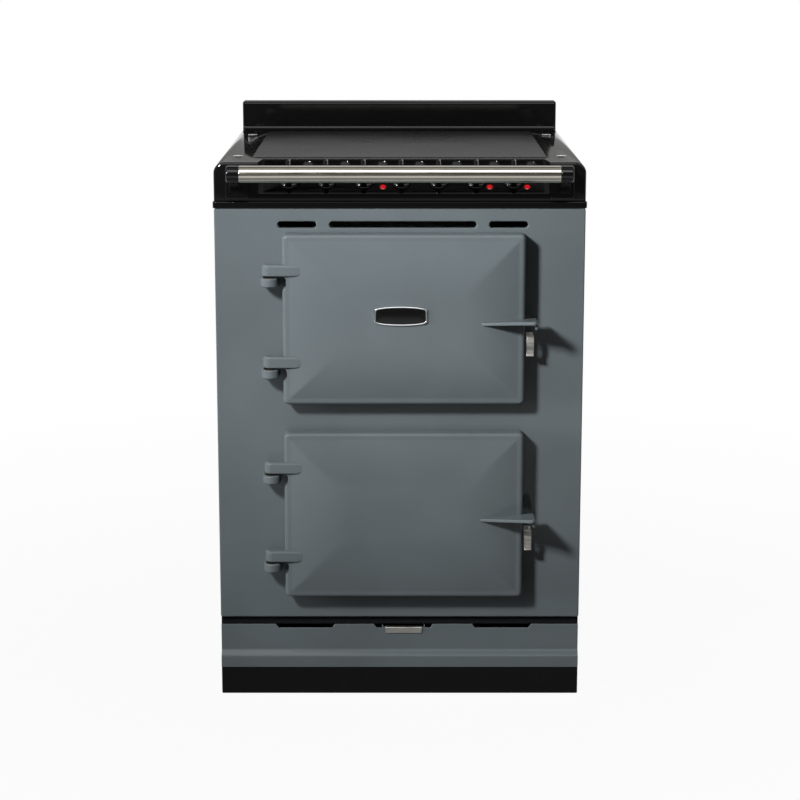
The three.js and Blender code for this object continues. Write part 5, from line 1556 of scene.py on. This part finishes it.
@dataclass
class Oven:
    """One oven chamber with its runners and shelf, and its grill element or fan."""

    level: str
    z: float
    front: float = 12.3
    depth: float = 430.0
    wall: float = 2.5
    flange: float = 14.0
    runner: float = 7.0
    spacing: float = 52.0
    baffle_depth: float = 40.0
    baffle_half: Pair = (145.0, 90.0)
    inlet: float = 46.0
    vanes: int = 8
    shelf_wires: int = 21
    guard_radii: tuple[float, ...] = (14.0, 26.0, 38.0, 50.0)
    guard_reach: float = 54.0
    grill_up: float = 89.5

    @property
    def back(self) -> float:
        """Outside of the chamber's back wall."""
        return self.front + self.depth

    def chamber(self) -> Skin:
        """One closed skin: inside wall, mouth, flange and outside wall, with three pairs of runners.

        Returns:
            The chamber and its runners.
        """
        t, f = self.wall, self.wall + self.flange
        rows = [(4.0, self.back - t), (1.0, self.back - t - 1.0), (0.0, self.back - t - 4.0),
                (0.0, self.front + 1.2), (-0.4, self.front + 0.35), (-1.2, self.front), (-f, self.front),
                (-f, self.front + t), (-t, self.front + t), (-t, self.back)]
        shell = hoops(BODY.mouth[0] / 2, BODY.mouth[1] / 2, 12.0, rows, Plane.FRONT,
                      (BODY.offset, self.z), steps=8)
        parts = [shell]
        for level in (-1, 0, 1):
            top = self.z + level * self.spacing
            right = brick((BODY.mouth[0] / 2 - self.runner, BODY.mouth[0] / 2 + 0.5),
                          (self.front + 25, self.back - self.baffle_depth - 15),
                          (top - self.runner, top), 2.4, 4)
            parts += [right.moved(BODY.offset), right.mirrored().moved(BODY.offset)]
        return together(parts)

    def shelf(self) -> Skin:
        """Wire shelf: two side rails, cross wires, and a thicker cross wire at each end.

        Returns:
            The shelf.
        """
        half, z = BODY.mouth[0] / 2 - 5.5, 3.3
        y0, y1 = self.front + 30, self.back - self.baffle_depth - 25
        rails = [rod(np.array(((x, y0 - 3, z), (x, (y0 + y1) / 2, z), (x, y1 + 3, z))), 3.0, (0, 0, 1), 12)
                 for x in (-half, half)]

        def crossing(y: float, thick: float, sides: int) -> Skin:
            """Wire from rail to rail at one depth."""
            return rod(np.array(((-half, y, z), (0, y, z), (half, y, z))), thick, (0, 0, 1), sides)

        wires = [crossing(y, 1.7, 8) for y in np.linspace(y0, y1, self.shelf_wires).tolist()]
        ends = [crossing(y, 2.6, 10) for y in (y0, y1)]
        return together([*rails, *wires, *ends]).moved(BODY.offset, 0.0, self.z)

    def grill(self) -> Skin:
        """Tube along straight runs joined by half turns: x + r - r cos a, y +- r sin a.

        Returns:
            The tube.
        """
        runs, pitch, length = 5, 56.0, 330.0
        r, straight = pitch / 2, (length - pitch) / 2
        middle = (self.front + self.back) / 2
        turn = np.linspace(0.0, np.pi, 15)[1:-1]
        path = [(-2 * pitch, self.back - self.wall - FIT - middle)]
        for run in range(runs):
            side, x = (1 if run % 2 == 0 else -1), (run - 2) * pitch
            path += [(x, side * straight), (x, 0.0), (x, -side * straight)]
            if run < runs - 1:
                bend = (x + r - r * np.cos(turn), -side * (straight + r * np.sin(turn)))
                path += list(zip(bend[0].tolist(), bend[1].tolist()))
        flat = np.array(path)
        line = np.column_stack([flat[:, 0] + BODY.offset, flat[:, 1] + middle,
                                np.full(len(flat), self.z + self.grill_up)])
        return rod(line, 3.4, (0, 0, 1), 12)

    def baffle(self) -> Skin:
        """Pan with a rolled edge and a round inlet under a guard of wire rings and bars.

        Returns:
            Pan, guard and screws.
        """
        y1 = self.back - self.wall - FIT
        y0 = y1 - self.baffle_depth
        centre = (BODY.offset, self.z)
        w, h = self.baffle_half
        face = plate(rounded_loop(w - 4, h - 4, 8, centre, 6), y0, 2.0, Plane.FRONT,
                     [self.inlet * unit_circle(48) + np.array(centre)], 0.0, 0.0)
        rows = [(4.0, y0), (1.2, y0 + 0.3), (0.3, y0 + 1.4), (0.0, y0 + 4.0), (0.0, y1), (2.0, y1),
                (2.0, y0 + 2.0), (4.0, y0 + 2.0)]
        wall = hoops(w, h, 10, rows, Plane.FRONT, centre, closed=True)
        guard, hub = [], np.array((centre[0], y0 + 0.9, centre[1]))
        turn = np.linspace(0.0, 2 * np.pi, 49)
        ring = np.stack([np.cos(turn), np.zeros_like(turn), np.sin(turn)], -1)
        for radius in self.guard_radii:
            guard.append(rod(hub + radius * ring, 1.1, (0, 1, 0), 6))
        for a in (0.0, np.pi / 3, 2 * np.pi / 3):
            step = np.array((math.cos(a), 0.0, math.sin(a))) * self.guard_reach
            guard.append(rod(np.stack([hub - step, hub, hub + step]), 1.4, (0, 1, 0), 8))
        screws = corner_screws(centre[0], y0, centre[1], w - 17, h - 16, 3.6, -1.0)
        return together([face, wall, *guard, *screws])

    def wheel(self) -> Skin:
        """Disc, hub nut and vanes that lean as a quarter of a sine along their length.

        Returns:
            The wheel, its axis along y.
        """
        hub = [(0, -40), (4, -40), (4, -0.6), (60.5, -0.6), (61.8, 0), (61.8, 0.9), (60.5, 1.5), (9, 1.5),
               (9, 10), (8.4, 12), (6.4, 12), (6.4, 17), (5.6, 18), (0, 18)]
        parts = [turned(hub, 48)]
        s = np.linspace(0.0, 1.0, 9)
        for turn_by in np.linspace(0.0, 2 * np.pi, self.vanes, endpoint=False).tolist():
            lean = turn_by + 0.14 * np.sin(np.pi / 2 * s)
            line = (8.0 + 52.0 * s)[:, None] * rays(lean)
            across = np.stack([-np.sin(lean), np.cos(lean)], -1) * 0.8
            loop = np.concatenate([line - across, (line + across)[::-1]])
            parts.append(plate(loop, 1.0, 15.0, Plane.TOP, far=0.5, steps=2))
        return tipped(together(parts), "front").moved(BODY.offset, self.back - self.wall - 8.0, self.z)

    def build(self) -> None:
        """Makes the oven's pieces."""
        piece(f"oven_{self.level}_chamber", self.chamber(), Coat.OVEN, nodes=[f"oven_liner_{self.level}"])
        piece(f"oven_{self.level}_wire_shelf", self.shelf(), Coat.CHROME, nodes=[f"oven_shelf_{self.level}"])
        if self.level == "top":
            piece("grill_tube", self.grill(), Coat.ELEMENT, nodes=["grill_element"])
        else:
            piece("baffle_pan", self.baffle(), Coat.OVEN, nodes=["fan_baffle"])
            piece("fan_blades", self.wheel(), Coat.STEEL, "fan_wheel", ["fan_wheel"])


# ---- Top ---------------------------------------------------------------------------


@dataclass
class Top:
    """Black enamelled top casting with its flange, hob glass, upstand and caps."""

    corner: float = 18.0
    wall: float = 8.0
    back: float = 600.0
    flange_low: float = 817.3
    flange_high: float = 828.0
    flange_half: Pair = (300.0, 301.0)
    glass: Triple = (480.0, 460.0, 5.0)
    glass_middle: float = 302.0
    recess: float = 452.0
    flare: float = 10.0
    slope: float = 50.0
    upstand: float = 577.0
    upstand_front: float = 565.0
    upstand_top: float = 944.3
    cove: float = 8.0
    cap_x: float = 264.0
    cap_y: Pair = (89.0, 466.0)

    def recess_tool(self) -> Skin:
        """Room in front of the fascia: a 45 degree floor, with ends that open to the front.

        Returns:
            The room to cut away.
        """
        deep, wide, z = self.recess / 2, self.recess / 2 + self.flare, BODY.hob
        foot = z - self.slope
        corners = []
        for sign in (-1, 1):
            corners += [(BODY.offset + sign * deep, self.slope + 10, z + 10),
                        (BODY.offset + sign * deep, -20, foot - 20),
                        (BODY.offset + sign * wide, -20, foot - 19), (BODY.offset + sign * wide, -20, z + 10)]
        faces = [(0, 1, 5, 4), (1, 2, 6, 5), (2, 3, 7, 6), (3, 0, 4, 7),
                 (0, 2, 1), (0, 3, 2), (4, 5, 6), (4, 6, 7)]
        return Skin(np.array(corners, float), faces)

    def hollow_tool(self) -> Skin:
        """Room underneath, a wall's thickness inside the outer shape.

        Returns:
            The room to cut away.
        """
        z, w = BODY.hob, self.wall
        drop = w * math.sqrt(2.0)
        ceiling = z - w
        start = self.slope + drop - w
        foot = ceiling - (start - w)
        low, back = self.flange_high - 20.0, self.back - w
        side = [(w, low), (back, low), (back, ceiling), (start, ceiling), (w, foot)]
        return plate(np.array(side), -BODY.half + w, BODY.width - 2 * w, Plane.SIDE)

    def casting(self) -> bpy.types.Mesh:
        """Front view with round shoulders, run to the back, then carved.

        Returns:
            The carved mesh.
        """
        half, low, high, r = BODY.half, self.flange_high - 1.0, BODY.hob, self.corner
        a = np.linspace(0.0, np.pi / 2, 10)
        right = np.array((half - r, high - r)) + r * rays(a)
        left = right[::-1] * np.array((-1.0, 1.0))
        section = np.concatenate([[[half, low]], right, left, [[-half, low]]])
        blank = plate(section, 0.0, self.back, Plane.FRONT, near=4.5, far=3.0, steps=5)
        w, d, t = self.glass
        seat = plate(rounded_loop(w / 2 + FIT, d / 2 + FIT, 6.3, (0.0, self.glass_middle), 6),
                     BODY.hob + 1 - t - FIT, 8.0, Plane.TOP)
        through = plate(rounded_loop(w / 2 - 8, d / 2 - 8, 6.0, (0.0, self.glass_middle), 6),
                        BODY.hob - 40.0, 50.0, Plane.TOP)
        tools = [self.hollow_tool(), self.recess_tool(), seat, through]
        return carved("top_casting", blank, tools)

    def flange(self) -> Skin:
        """Lip under the casting: a hoop with softly rounded outer edges.

        Returns:
            The lip.
        """
        low, high = self.flange_low, self.flange_high
        turn = np.linspace(0.0, np.pi / 2, 5)
        upper = [(1.6 * (1 - math.cos(t)), high - 1.6 * (1 - math.sin(t))) for t in turn.tolist()]
        rows = [(12.0, low), (1.0, low), (0.3, low + 0.3), (0.0, low + 1.0), *upper, (12.0, high)]
        return hoops(*self.flange_half, 5.0, rows, Plane.TOP, (0.0, BODY.depth / 2), closed=True)

    def hob(self) -> Skin:
        """Sheet of glass with a fine polished bevel.

        Returns:
            The sheet of glass.
        """
        w, d, t = self.glass
        top = BODY.hob + 1.0
        rows = [(0.8, top - t), (0.2, top - t + 0.3), (0.0, top - t + 0.8), (0.0, top - 1.3),
                (0.35, top - 0.75), (0.9, top - 0.25), (1.7, top)]
        return hoops(w / 2, d / 2, 6.0, rows, Plane.TOP, (0.0, self.glass_middle))

    def back_wall(self) -> Skin:
        """Side view with a cove and two round edges, run across with rounded ends.

        Returns:
            The upstand.
        """
        low, high, front = BODY.hob - 6.0, self.upstand_top, self.upstand_front
        back, e, c = BODY.depth, 5.5, self.cove
        a = np.linspace(0.0, np.pi / 2, 9)
        back_edge = np.array((back - e, high - e)) + e * rays(a)
        front_edge = np.stack([front + e - e * np.sin(a), high - e + e * np.cos(a)], -1)
        cove = np.stack([front - c + c * np.cos(a), BODY.hob + FIT + c + 1 - c * np.sin(a)], -1)
        side = np.concatenate([[[back, low]], back_edge, front_edge, cove, [[front - c, low]]])
        return plate(side, -self.upstand / 2, self.upstand, Plane.SIDE, near=4.0, far=4.0, steps=6)

    def cap(self, x: float, y: float) -> Skin:
        """Low dome with a stepped rim: height falls as the square of the radius.

        Args:
            x: Its place across.
            y: Its place in depth.

        Returns:
            The cap.
        """
        s = np.linspace(1.0, 0.0, 9)
        dome = [(6.4 * v, 1.5 + 0.9 * (1 - v * v)) for v in s.tolist()]
        rows = [(0, 0), (8.5, 0), (8.5, 0.9), (8.1, 1.4), (7.4, 1.6), (6.9, 1.3), *dome]
        return turned(rows, 40).moved(x, y, BODY.hob + FIT)

    def build(self) -> None:
        """Makes the pieces."""
        piece("top_casting", self.casting(), Coat.BLACK, nodes=["top_plate"], sharp=28.0, bevel=1.5)
        piece("top_flange", self.flange(), Coat.BLACK)
        piece("glass_hob", self.hob(), Coat.GLASS, nodes=["hob_glass"], sharp=60.0)
        piece("coved_upstand", self.back_wall(), Coat.BLACK, nodes=["rear_upstand"], sharp=60.0)
        for row, y in zip(("front", "back"), self.cap_y):
            for side, sign in (("left", -1), ("right", 1)):
                piece(f"round_cap_{row}_{side}", self.cap(sign * self.cap_x, y), Coat.CHROME,
                      nodes=[f"top_cap_{row}_{side}"])


@dataclass
class Controls:
    """Sloping fascia with seven knobs, seven round indicators and three red lamps."""

    count: int = 7
    pitch: float = 60.0
    middle: float = 2.0
    knob_down: float = 45.0
    disc_down: float = 12.2
    lamp_down: float = 57.9
    lamps: tuple[float, ...] = (-27.0, 144.0, 204.0)
    disc: float = 8.0
    lamp: float = 5.6
    rim_gap: float = 0.3
    run: float = 50.0
    skirt: float = 17.0
    height: float = 36.0
    half_width: float = 225.7

    def sloped(self, skin: Skin) -> Skin:
        """Leans a shape given as (x, up the slope, out of it) back by 45 degrees.

        Args:
            skin: The shape as given.

        Returns:
            The shape on the slope.
        """
        k = math.sqrt(0.5)

        def lean(points: np.ndarray) -> np.ndarray:
            """y = run + (up - out) / root 2 and z = hob + (up + out) / root 2."""
            x, up, out = points.T
            return np.stack([x, self.run + (up - out) * k, BODY.hob + (up + out) * k], -1)

        return skin.mapped(lean)

    def knob_x(self, index: int) -> float:
        """X of a knob in the row."""
        return self.middle + (index - 3) * self.pitch

    def fascia(self) -> Skin:
        """Plate with a round hole for every spindle and lamp.

        Returns:
            The plate.
        """
        length = self.run * math.sqrt(2.0)
        circle = unit_circle(32)
        holes = [3.3 * circle + (self.knob_x(i), -self.knob_down) for i in range(self.count)]
        holes += [(self.disc + self.rim_gap) * circle + (self.knob_x(i) + self.pitch / 2, -self.disc_down)
                  for i in range(self.count)]
        holes += [(self.lamp + self.rim_gap) * circle + (x, -self.lamp_down) for x in self.lamps]
        outer = rounded_loop(self.half_width, (length - 3) / 2, 1.5, (BODY.offset, -length / 2), 4)
        return self.sloped(plate(outer, -3.0, 3.0, Plane.TOP, holes, 0.0, 0.5, 3))

    def lens(self, x: float, down: float, radius: float) -> list[Skin]:
        """Domed lens and the thin bezel round it.

        Args:
            x: Place across.
            down: Distance down the slope.
            radius: Radius of the bezel.

        Returns:
            Lens in the first coat and bezel in the second.
        """
        s = np.linspace(1.0, 0.0, 8)
        dome = [(0.86 * radius * v, 0.55 + 1.0 * (1 - v * v)) for v in s.tolist()]
        bezel = [(radius * 0.84, -3.0), (radius, -3.0), (radius, 0.7), (radius * 0.98, 1.2),
                 (radius * 0.92, 1.3), (radius * 0.86, 1.0), (radius * 0.84, 0.2)]
        body = turned([(0, -3.4), (radius * 0.86, -3.4), *dome], 36).coated(0)
        ring = turned(bezel, 36).coated(1)
        return [body.moved(x, -down), ring.moved(x, -down)]

    def knob(self, index: int) -> Skin:
        """Bell-shaped skirt, upright grip that narrows to its ridge, and a bright nickel pointer on the right
        half of the ridge: partly a real pointer inlay, partly a painted highlight of the grip's lit edge.

        The grip is drawn in by 0.7 up to its round, whose radius is 1.8, and flares at its foot
        as e to the power of minus half the height above it.

        Args:
            index: Number of the knob in the row, from the left.

        Returns:
            The knob on the fascia, with the pointer inlay, which is also a painted highlight of the grip's
            lit edge, in the second coat.
        """
        r, ease, foot = self.skirt, 1.8, 4.0
        rows = [(0, -18), (3, -18), (3, 0.2), (r - 1.0, FIT), (r - 0.2, 0.6), (r, 1.4), (r - 0.3, 2.6),
                (r - 1.4, 3.9), (r - 3.0, 4.9), (r - 5.0, 5.6), (r - 9.0, 6.0), (0, 6.0)]
        turn, shoulder = np.linspace(0.0, np.pi / 2, 6), self.height - ease
        out = np.concatenate([np.linspace(foot, shoulder, 10), shoulder + ease * np.sin(turn)[1:]])
        draw = np.concatenate([np.linspace(0.0, 0.7, 10), 0.7 + ease * (1 - np.cos(turn))[1:]])
        flare = 3.0 * np.exp(-(out - foot) / 2.0)
        rings = np.stack([
            level_at(rounded_loop(4.5 - d + 0.4 * f, 15.5 - d - 0.5 + 0.1 * f, max(3.2 - d, 1.2)), w)
            for d, f, w in zip(draw.tolist(), flare.tolist(), out.tolist())
        ])
        grip = lofted(rings)
        # Nickel strip on the right half of the grip's ridge only: a pointer inlay that also paints the
        # highlight of the grip's lit edge.
        pointer_and_highlight = brick((0.6, 3.2), (3.5, 15.4), (28.0, self.height - 0.05), 0.7, 4).coated(1)
        shape = together([turned(rows, 56), grip, pointer_and_highlight])
        return self.sloped(shape.moved(self.knob_x(index), -self.knob_down))

    def build(self) -> None:
        """Makes the pieces."""
        piece("sloping_fascia", self.fascia(), Coat.BLACK, nodes=["control_fascia"])
        discs = [part for i in range(self.count)
                 for part in self.lens(self.knob_x(i) + self.pitch / 2, self.disc_down, self.disc)]
        piece("round_indicators", self.sloped(together(discs)), [Coat.SMOKED, Coat.PLASTIC],
              nodes=["indicator_strip"])
        reds = [part for x in self.lamps for part in self.lens(x, self.lamp_down, self.lamp)]
        piece("red_lamps", self.sloped(together(reds)), [Coat.RED, Coat.PLASTIC], nodes=["neon_strip"])
        for index in range(self.count):
            piece(f"knob_with_grip_{index + 1}", self.knob(index), [Coat.PLASTIC, Coat.NICKEL],
                  f"knob_{index + 1}", [f"knob_{index + 1}"], sharp=50.0)


@dataclass
class Handrail:
    """Bright rail tube between two black brackets."""

    radius: float = 13.5
    wall: float = 2.0
    half: float = 252.5
    reach: float = 60.0
    z: float = 878.4
    head: float = 20.0
    foot: Pair = (38.0, 55.0)
    foot_low: float = 832.0

    def tube(self) -> Skin:
        """Section of wall carried round a closed hoop profile, with eased ends.

        Returns:
            The tube, along x.
        """
        r, i, h = self.radius, self.radius - self.wall, self.half
        rows = np.array([(i, -h + 0.4), (i + 0.4, -h), (r - 0.6, -h), (r - 0.15, -h + 0.2), (r, -h + 0.7),
                         (r, 0.0), (r, h - 0.7), (r - 0.15, h - 0.2), (r - 0.6, h), (i + 0.4, h),
                         (i, h - 0.4)])
        sides = 72
        rims = rows[:, None, :1] * unit_circle(sides)[None]
        rings = np.concatenate([np.repeat(rows[:, None, 1:], sides, 1), rims], -1)
        return lofted(rings, closed=True).moved(0.0, -self.reach, self.z)

    def bracket(self) -> Skin:
        """Foot plate, an arm that sweeps up from it, and a round head with its spigot (right side).

        Returns:
            The bracket.
        """
        inner = self.half + FIT
        outer = inner + self.head
        middle = (inner + outer) / 2
        foot_x = middle - 3.0
        outline = rounded_loop(self.foot[0] / 2, self.foot[1] / 2, 5.0,
                               (foot_x, self.foot_low + self.foot[1] / 2), 6)
        foot = plate(outline, -6.3, 6.0, Plane.FRONT, near=2.2, steps=5)
        r = self.radius
        head_rows = [(0, inner - 14), (r - 2.4, inner - 14), (r - 2.4, inner), (r - 0.6, inner),
                     (r, inner + 0.8), (r, outer - 3.0), (r - 0.4, outer - 1.4), (r - 1.6, outer - 0.3),
                     (r - 3.6, outer), (0, outer)]
        head = tipped(turned(head_rows, 56), "x").moved(0.0, -self.reach, self.z)
        s = np.linspace(0.0, 1.0, 22)
        y = -self.reach + (self.reach - 5.0) * s
        top = self.z + 6.0 + (self.foot_low + self.foot[1] - 4 - self.z - 6.0) * s - 2.0 * np.sin(np.pi * s)
        low = self.z - 11.0 + (self.foot_low + 8 - self.z + 11.0) * s + 7.0 * np.sin(np.pi * s) * s
        half_x = 8.2 + 1.5 * s ** 4
        rings = np.stack([
            level_at(rounded_loop(hx, (t - b) / 2, 3.6, (middle, (t + b) / 2)), at)
            for hx, t, b, at in zip(half_x.tolist(), top.tolist(), low.tolist(), y.tolist())
        ])
        return together([foot, head, lofted(Plane.FRONT.place(rings))])

    def build(self) -> None:
        """Makes the pieces."""
        piece("bright_rail", self.tube(), Coat.NICKEL, nodes=["handrail_tube"], sharp=60.0)
        right = self.bracket()
        piece("rail_arm_right", right, Coat.BLACK, nodes=["rail_bracket_right"], sharp=50.0)
        piece("rail_arm_left", right.mirrored(), Coat.BLACK, nodes=["rail_bracket_left"], sharp=50.0)


# ---- Photograph --------------------------------------------------------------------


@dataclass
class Studio:
    """Camera, lamps, floor and background.

    Attributes:
        lens: Focal length for a 36 mm sensor.
        tilt: Angle in radians by which the camera looks down.
        place: Where the camera stands, in metres.
        travel: Direction in which the key light travels.
        boxes: Angle in degrees and level of each stop of the soft boxes; both ends come first.
        box_ends: Sideways part of the direction from which the end wall comes in, and takes over.
        shadow_fade: Distances between which the floor goes from floor_glow to plain white.
        front_glow: Levels that gloss sees of the floor, at the two distances of floor_fade.
        near_glow: The same close to the range, at the two distances of near_fade.
    """

    lens: float = 98.78
    tilt: float = 0.21176
    shift: float = 0.0046
    place: Triple = (-0.0056, -3.756, 1.2559)
    travel: Triple = (0.56, 0.71, -0.42)
    key_watts: float = 10.6
    key_size: float = 0.3
    key_distance: float = 2.3
    key_aim: Triple = (0.14, -0.3, 0.8)
    key_spread: float = 58.0
    over_watts: float = 7.0
    over_size: Pair = (1.6, 0.5)
    over_place: Triple = (-0.2, -1.3, 2.3)
    over_aim: Triple = (0.0, -0.25, 0.6)
    side_watts: float = 5.5
    side_size: Pair = (0.5, 1.0)
    side_place: Triple = (-2.2, -0.95, 0.75)
    side_aim: Triple = (0.0, -0.3, 0.6)
    side_spread: float = 70.0
    fill_watts: tuple[float, ...] = (14.0, 5.0, 16.0)
    fill_size: Pair = (1.6, 0.8)
    fill_places: tuple[Triple, ...] = ((2.6, 0.5, 0.5), (-2.6, 0.5, 0.5), (0.3, 2.9, 0.5))
    fill_aim: Triple = (0.0, 0.1, 0.5)
    ambient: float = 0.006
    white_below: Pair = (0.13, 0.2)
    white_behind: Pair = (-0.2, 0.1)
    horizon: Pair = (-0.02, 0.03)
    boxes: tuple[Pair, ...] = (
        (0.0, 0.12), (180.0, 0.6), (11.0, 0.12), (15.0, 0.03), (26.0, 0.03), (31.0, 0.25), (37.0, 2.4),
        (46.0, 2.4), (53.0, 0.42), (75.0, 0.32), (98.0, 0.45), (106.0, 0.14), (124.0, 0.12),
        (138.0, 1.0), (158.0, 0.9), (170.0, 0.3), (177.0, 0.26))
    warmth: float = 0.98
    box_ends: Pair = (0.86, 0.97)
    end_wall: float = 0.3
    floor_radius: float = 9.0
    floor_grey: float = 0.25
    floor_glow: float = 0.95
    shadow_fade: Pair = (0.45, 2.2)
    floor_fade: Pair = (2.4, 4.5)
    front_glow: Pair = (0.8, 0.1)
    near_glow: Pair = (0.03, 0.8)
    near_fade: Pair = (0.9, 1.6)

    def camera(self) -> None:
        """Sets the camera at the photograph's angle."""
        data = bpy.data.cameras.new("camera")
        data.lens, data.sensor_width, data.shift_x = self.lens, 36.0, self.shift
        data.clip_end = 60.0
        made = bpy.data.objects.new("camera", data)
        made.location = self.place
        made.rotation_euler = (math.pi / 2 - self.tilt, 0.0, 0.0)
        bpy.context.scene.collection.objects.link(made)
        bpy.context.scene.camera = made

    def lamp(self, name: str, watts: float, sizes: Pair, place: np.ndarray, travel: np.ndarray,
             spread: float = 180.0, mirrored: bool = True) -> None:
        """Hangs a rectangular lamp.

        Args:
            name: Name of the lamp.
            watts: Its power.
            sizes: Width and height in metres.
            place: Where it hangs, in metres.
            travel: Direction in which it shines.
            spread: Angle of its beam in degrees.
            mirrored: Whether glossy surfaces show it.
        """
        data = bpy.data.lights.new(name, "AREA")
        data.shape, data.energy, data.size, data.size_y = "RECTANGLE", watts, sizes[0], sizes[1]
        data.spread = math.radians(spread)
        made = bpy.data.objects.new(name, data)
        made.location = place.tolist()
        made.visible_camera = False
        made.visible_glossy = mirrored
        made.rotation_euler = Vector(travel.tolist()).to_track_quat("-Z", "Y").to_euler()
        bpy.context.scene.collection.objects.link(made)

    def lamps(self) -> None:
        """Key lamp at the front left, a soft one over the front, one from the left side, and fills."""
        way = np.array(self.travel) / np.linalg.norm(self.travel)
        self.lamp("key", self.key_watts, (self.key_size, self.key_size),
                  np.array(self.key_aim) - way * self.key_distance, way, self.key_spread)
        place = np.array(self.over_place)
        self.lamp("overhead", self.over_watts, self.over_size, place, np.array(self.over_aim) - place)
        place = np.array(self.side_place)
        self.lamp("side", self.side_watts, self.side_size, place, np.array(self.side_aim) - place,
                  self.side_spread, mirrored=False)
        for index, (watts, spot) in enumerate(zip(self.fill_watts, self.fill_places)):
            place = np.array(spot)
            self.lamp(f"fill_{index}", watts, self.fill_size, place, np.array(self.fill_aim) - place,
                      mirrored=False)

    def world(self) -> None:
        """White up to a low height; above it the studio's soft boxes, for camera and reflections.

        The boxes run along X. Their brightness is a ramp over the angle atan2(z, -y), which is
        nought at the front, a quarter turn overhead and a half turn at the back. They end in a
        plain grey wall where the size of the direction's x part is large. Diffuse light from the
        world is low and even.
        """
        world = bpy.data.worlds.new("studio")
        world.use_nodes = True
        sky = Wiring(world.node_tree)
        way = sky.axes(sky.nodes.new("ShaderNodeTexCoord").outputs["Generated"])
        forward = sky.sums("MULTIPLY", way["Y"], -1.0)
        angle = sky.sums("DIVIDE", sky.sums("ARCTAN2", way["Z"], forward), math.pi)
        ramp = sky.nodes.new("ShaderNodeValToRGB")
        stops = ramp.color_ramp.elements
        for index, (degrees, level) in enumerate(self.boxes):
            stop = stops[index] if index < 2 else stops.new(degrees / 180.0)
            stop.position, stop.color = degrees / 180.0, (level, level, level * self.warmth, 1.0)
        sky.links.new(angle, ramp.inputs["Fac"])
        sideways = sky.sums("MULTIPLY", way["X"], way["X"])
        beyond = sky.span(sideways, *(end * end for end in self.box_ends))
        boxes = sky.mixed(beyond, ramp.outputs["Color"], self.end_wall)
        path = sky.nodes.new("ShaderNodeLightPath").outputs
        for_camera = sky.sums("MULTIPLY", sky.span(way["Z"], *self.white_below, 1.0, 0.0),
                              path["Is Camera Ray"])
        for_gloss = sky.sums("MULTIPLY", sky.span(way["Z"], *self.horizon, 1.0, 0.0),
                             sky.span(way["Y"], *self.white_behind))
        room = sky.mixed(sky.sums("MAXIMUM", for_camera, for_gloss), boxes, 1.0)
        seen = sky.sums("MAXIMUM", sky.sums("MAXIMUM", path["Is Camera Ray"], path["Is Glossy Ray"]),
                        path["Is Transmission Ray"])
        sky.links.new(sky.mixed(seen, self.ambient, room), sky.nodes["Background"].inputs["Color"])
        bpy.context.scene.world = world

    def floor(self) -> None:
        """Round pale floor that keeps the shadow near the range and melts into the background."""
        sides = 96
        rim = level_at(self.floor_radius * unit_circle(sides), 0.0)
        mesh = bpy.data.meshes.new("floor")
        mesh.from_pydata(rim.tolist(), [], [tuple(range(sides))])
        made = bpy.data.objects.new("floor", mesh)
        bpy.context.scene.collection.objects.link(made)
        graph = Graph("pale_floor")
        graph.settle(Base_Color=(*(self.floor_grey,) * 3, 1.0), Roughness=0.9, Specular_IOR_Level=0.0)
        length = graph.nodes.new("ShaderNodeVectorMath")
        length.operation = "LENGTH"
        graph.links.new(graph.place, length.inputs[0])
        away = length.outputs["Value"]
        in_front = graph.sums("MINIMUM", graph.span(away, *self.floor_fade, *self.front_glow),
                              graph.span(away, *self.near_fade, *self.near_glow))
        mirrored = graph.sums("MAXIMUM", graph.span(graph.axes(graph.place)["Y"], -1.0, 1.0), in_front)
        path = graph.nodes.new("ShaderNodeLightPath").outputs
        for_camera = graph.sums("MULTIPLY", graph.span(away, *self.shadow_fade, self.floor_glow, 1.0),
                                path["Is Camera Ray"])
        for_gloss = graph.sums("MULTIPLY", mirrored, graph.sums(
            "MAXIMUM", path["Is Glossy Ray"], path["Is Transmission Ray"]))
        mix = graph.nodes.new("ShaderNodeMixShader")
        graph.links.new(graph.sums("MAXIMUM", for_camera, for_gloss), mix.inputs["Fac"])
        graph.links.new(graph.shader.outputs[0], mix.inputs[1])
        graph.links.new(graph.nodes.new("ShaderNodeEmission").outputs[0], mix.inputs[2])
        graph.links.new(mix.outputs[0], graph.nodes["Material Output"].inputs["Surface"])
        mesh.materials.append(graph.material)

    def build(self) -> None:
        """Sets up the whole studio."""
        bpy.context.scene.view_settings.view_transform = "Standard"
        self.camera()
        self.lamps()
        self.world()
        self.floor()


HIDDEN_NODES = {
    "base_tray": Coat.ZINC, "element_tray": Coat.ZINC, "switch_bank": Coat.PLASTIC, "fan_motor": Coat.ZINC,
    **{f"hob_element_{number}": Coat.MICA for number in range(1, 5)},
}


def dress_nodes() -> None:
    """Gives the CAD nodes that stay, which lie inside the body, their finishes."""
    for name, coat in HIDDEN_NODES.items():
        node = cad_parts[name]
        node.data.materials.clear()
        node.data.materials.append(FINISHES.of(coat))


def main() -> None:
    """Builds the studio and every sub-assembly."""
    Studio().build()
    dress_nodes()
    parts = [Base(), Panels(), FrontPlate(), Top(), Controls(), Handrail()]
    parts += [Oven(level, z) for level, z in BODY.ovens]
    parts += [Door(level, z) for level, z in BODY.ovens]
    for part in parts:
        part.build()


if __name__ == "__main__":
    main()
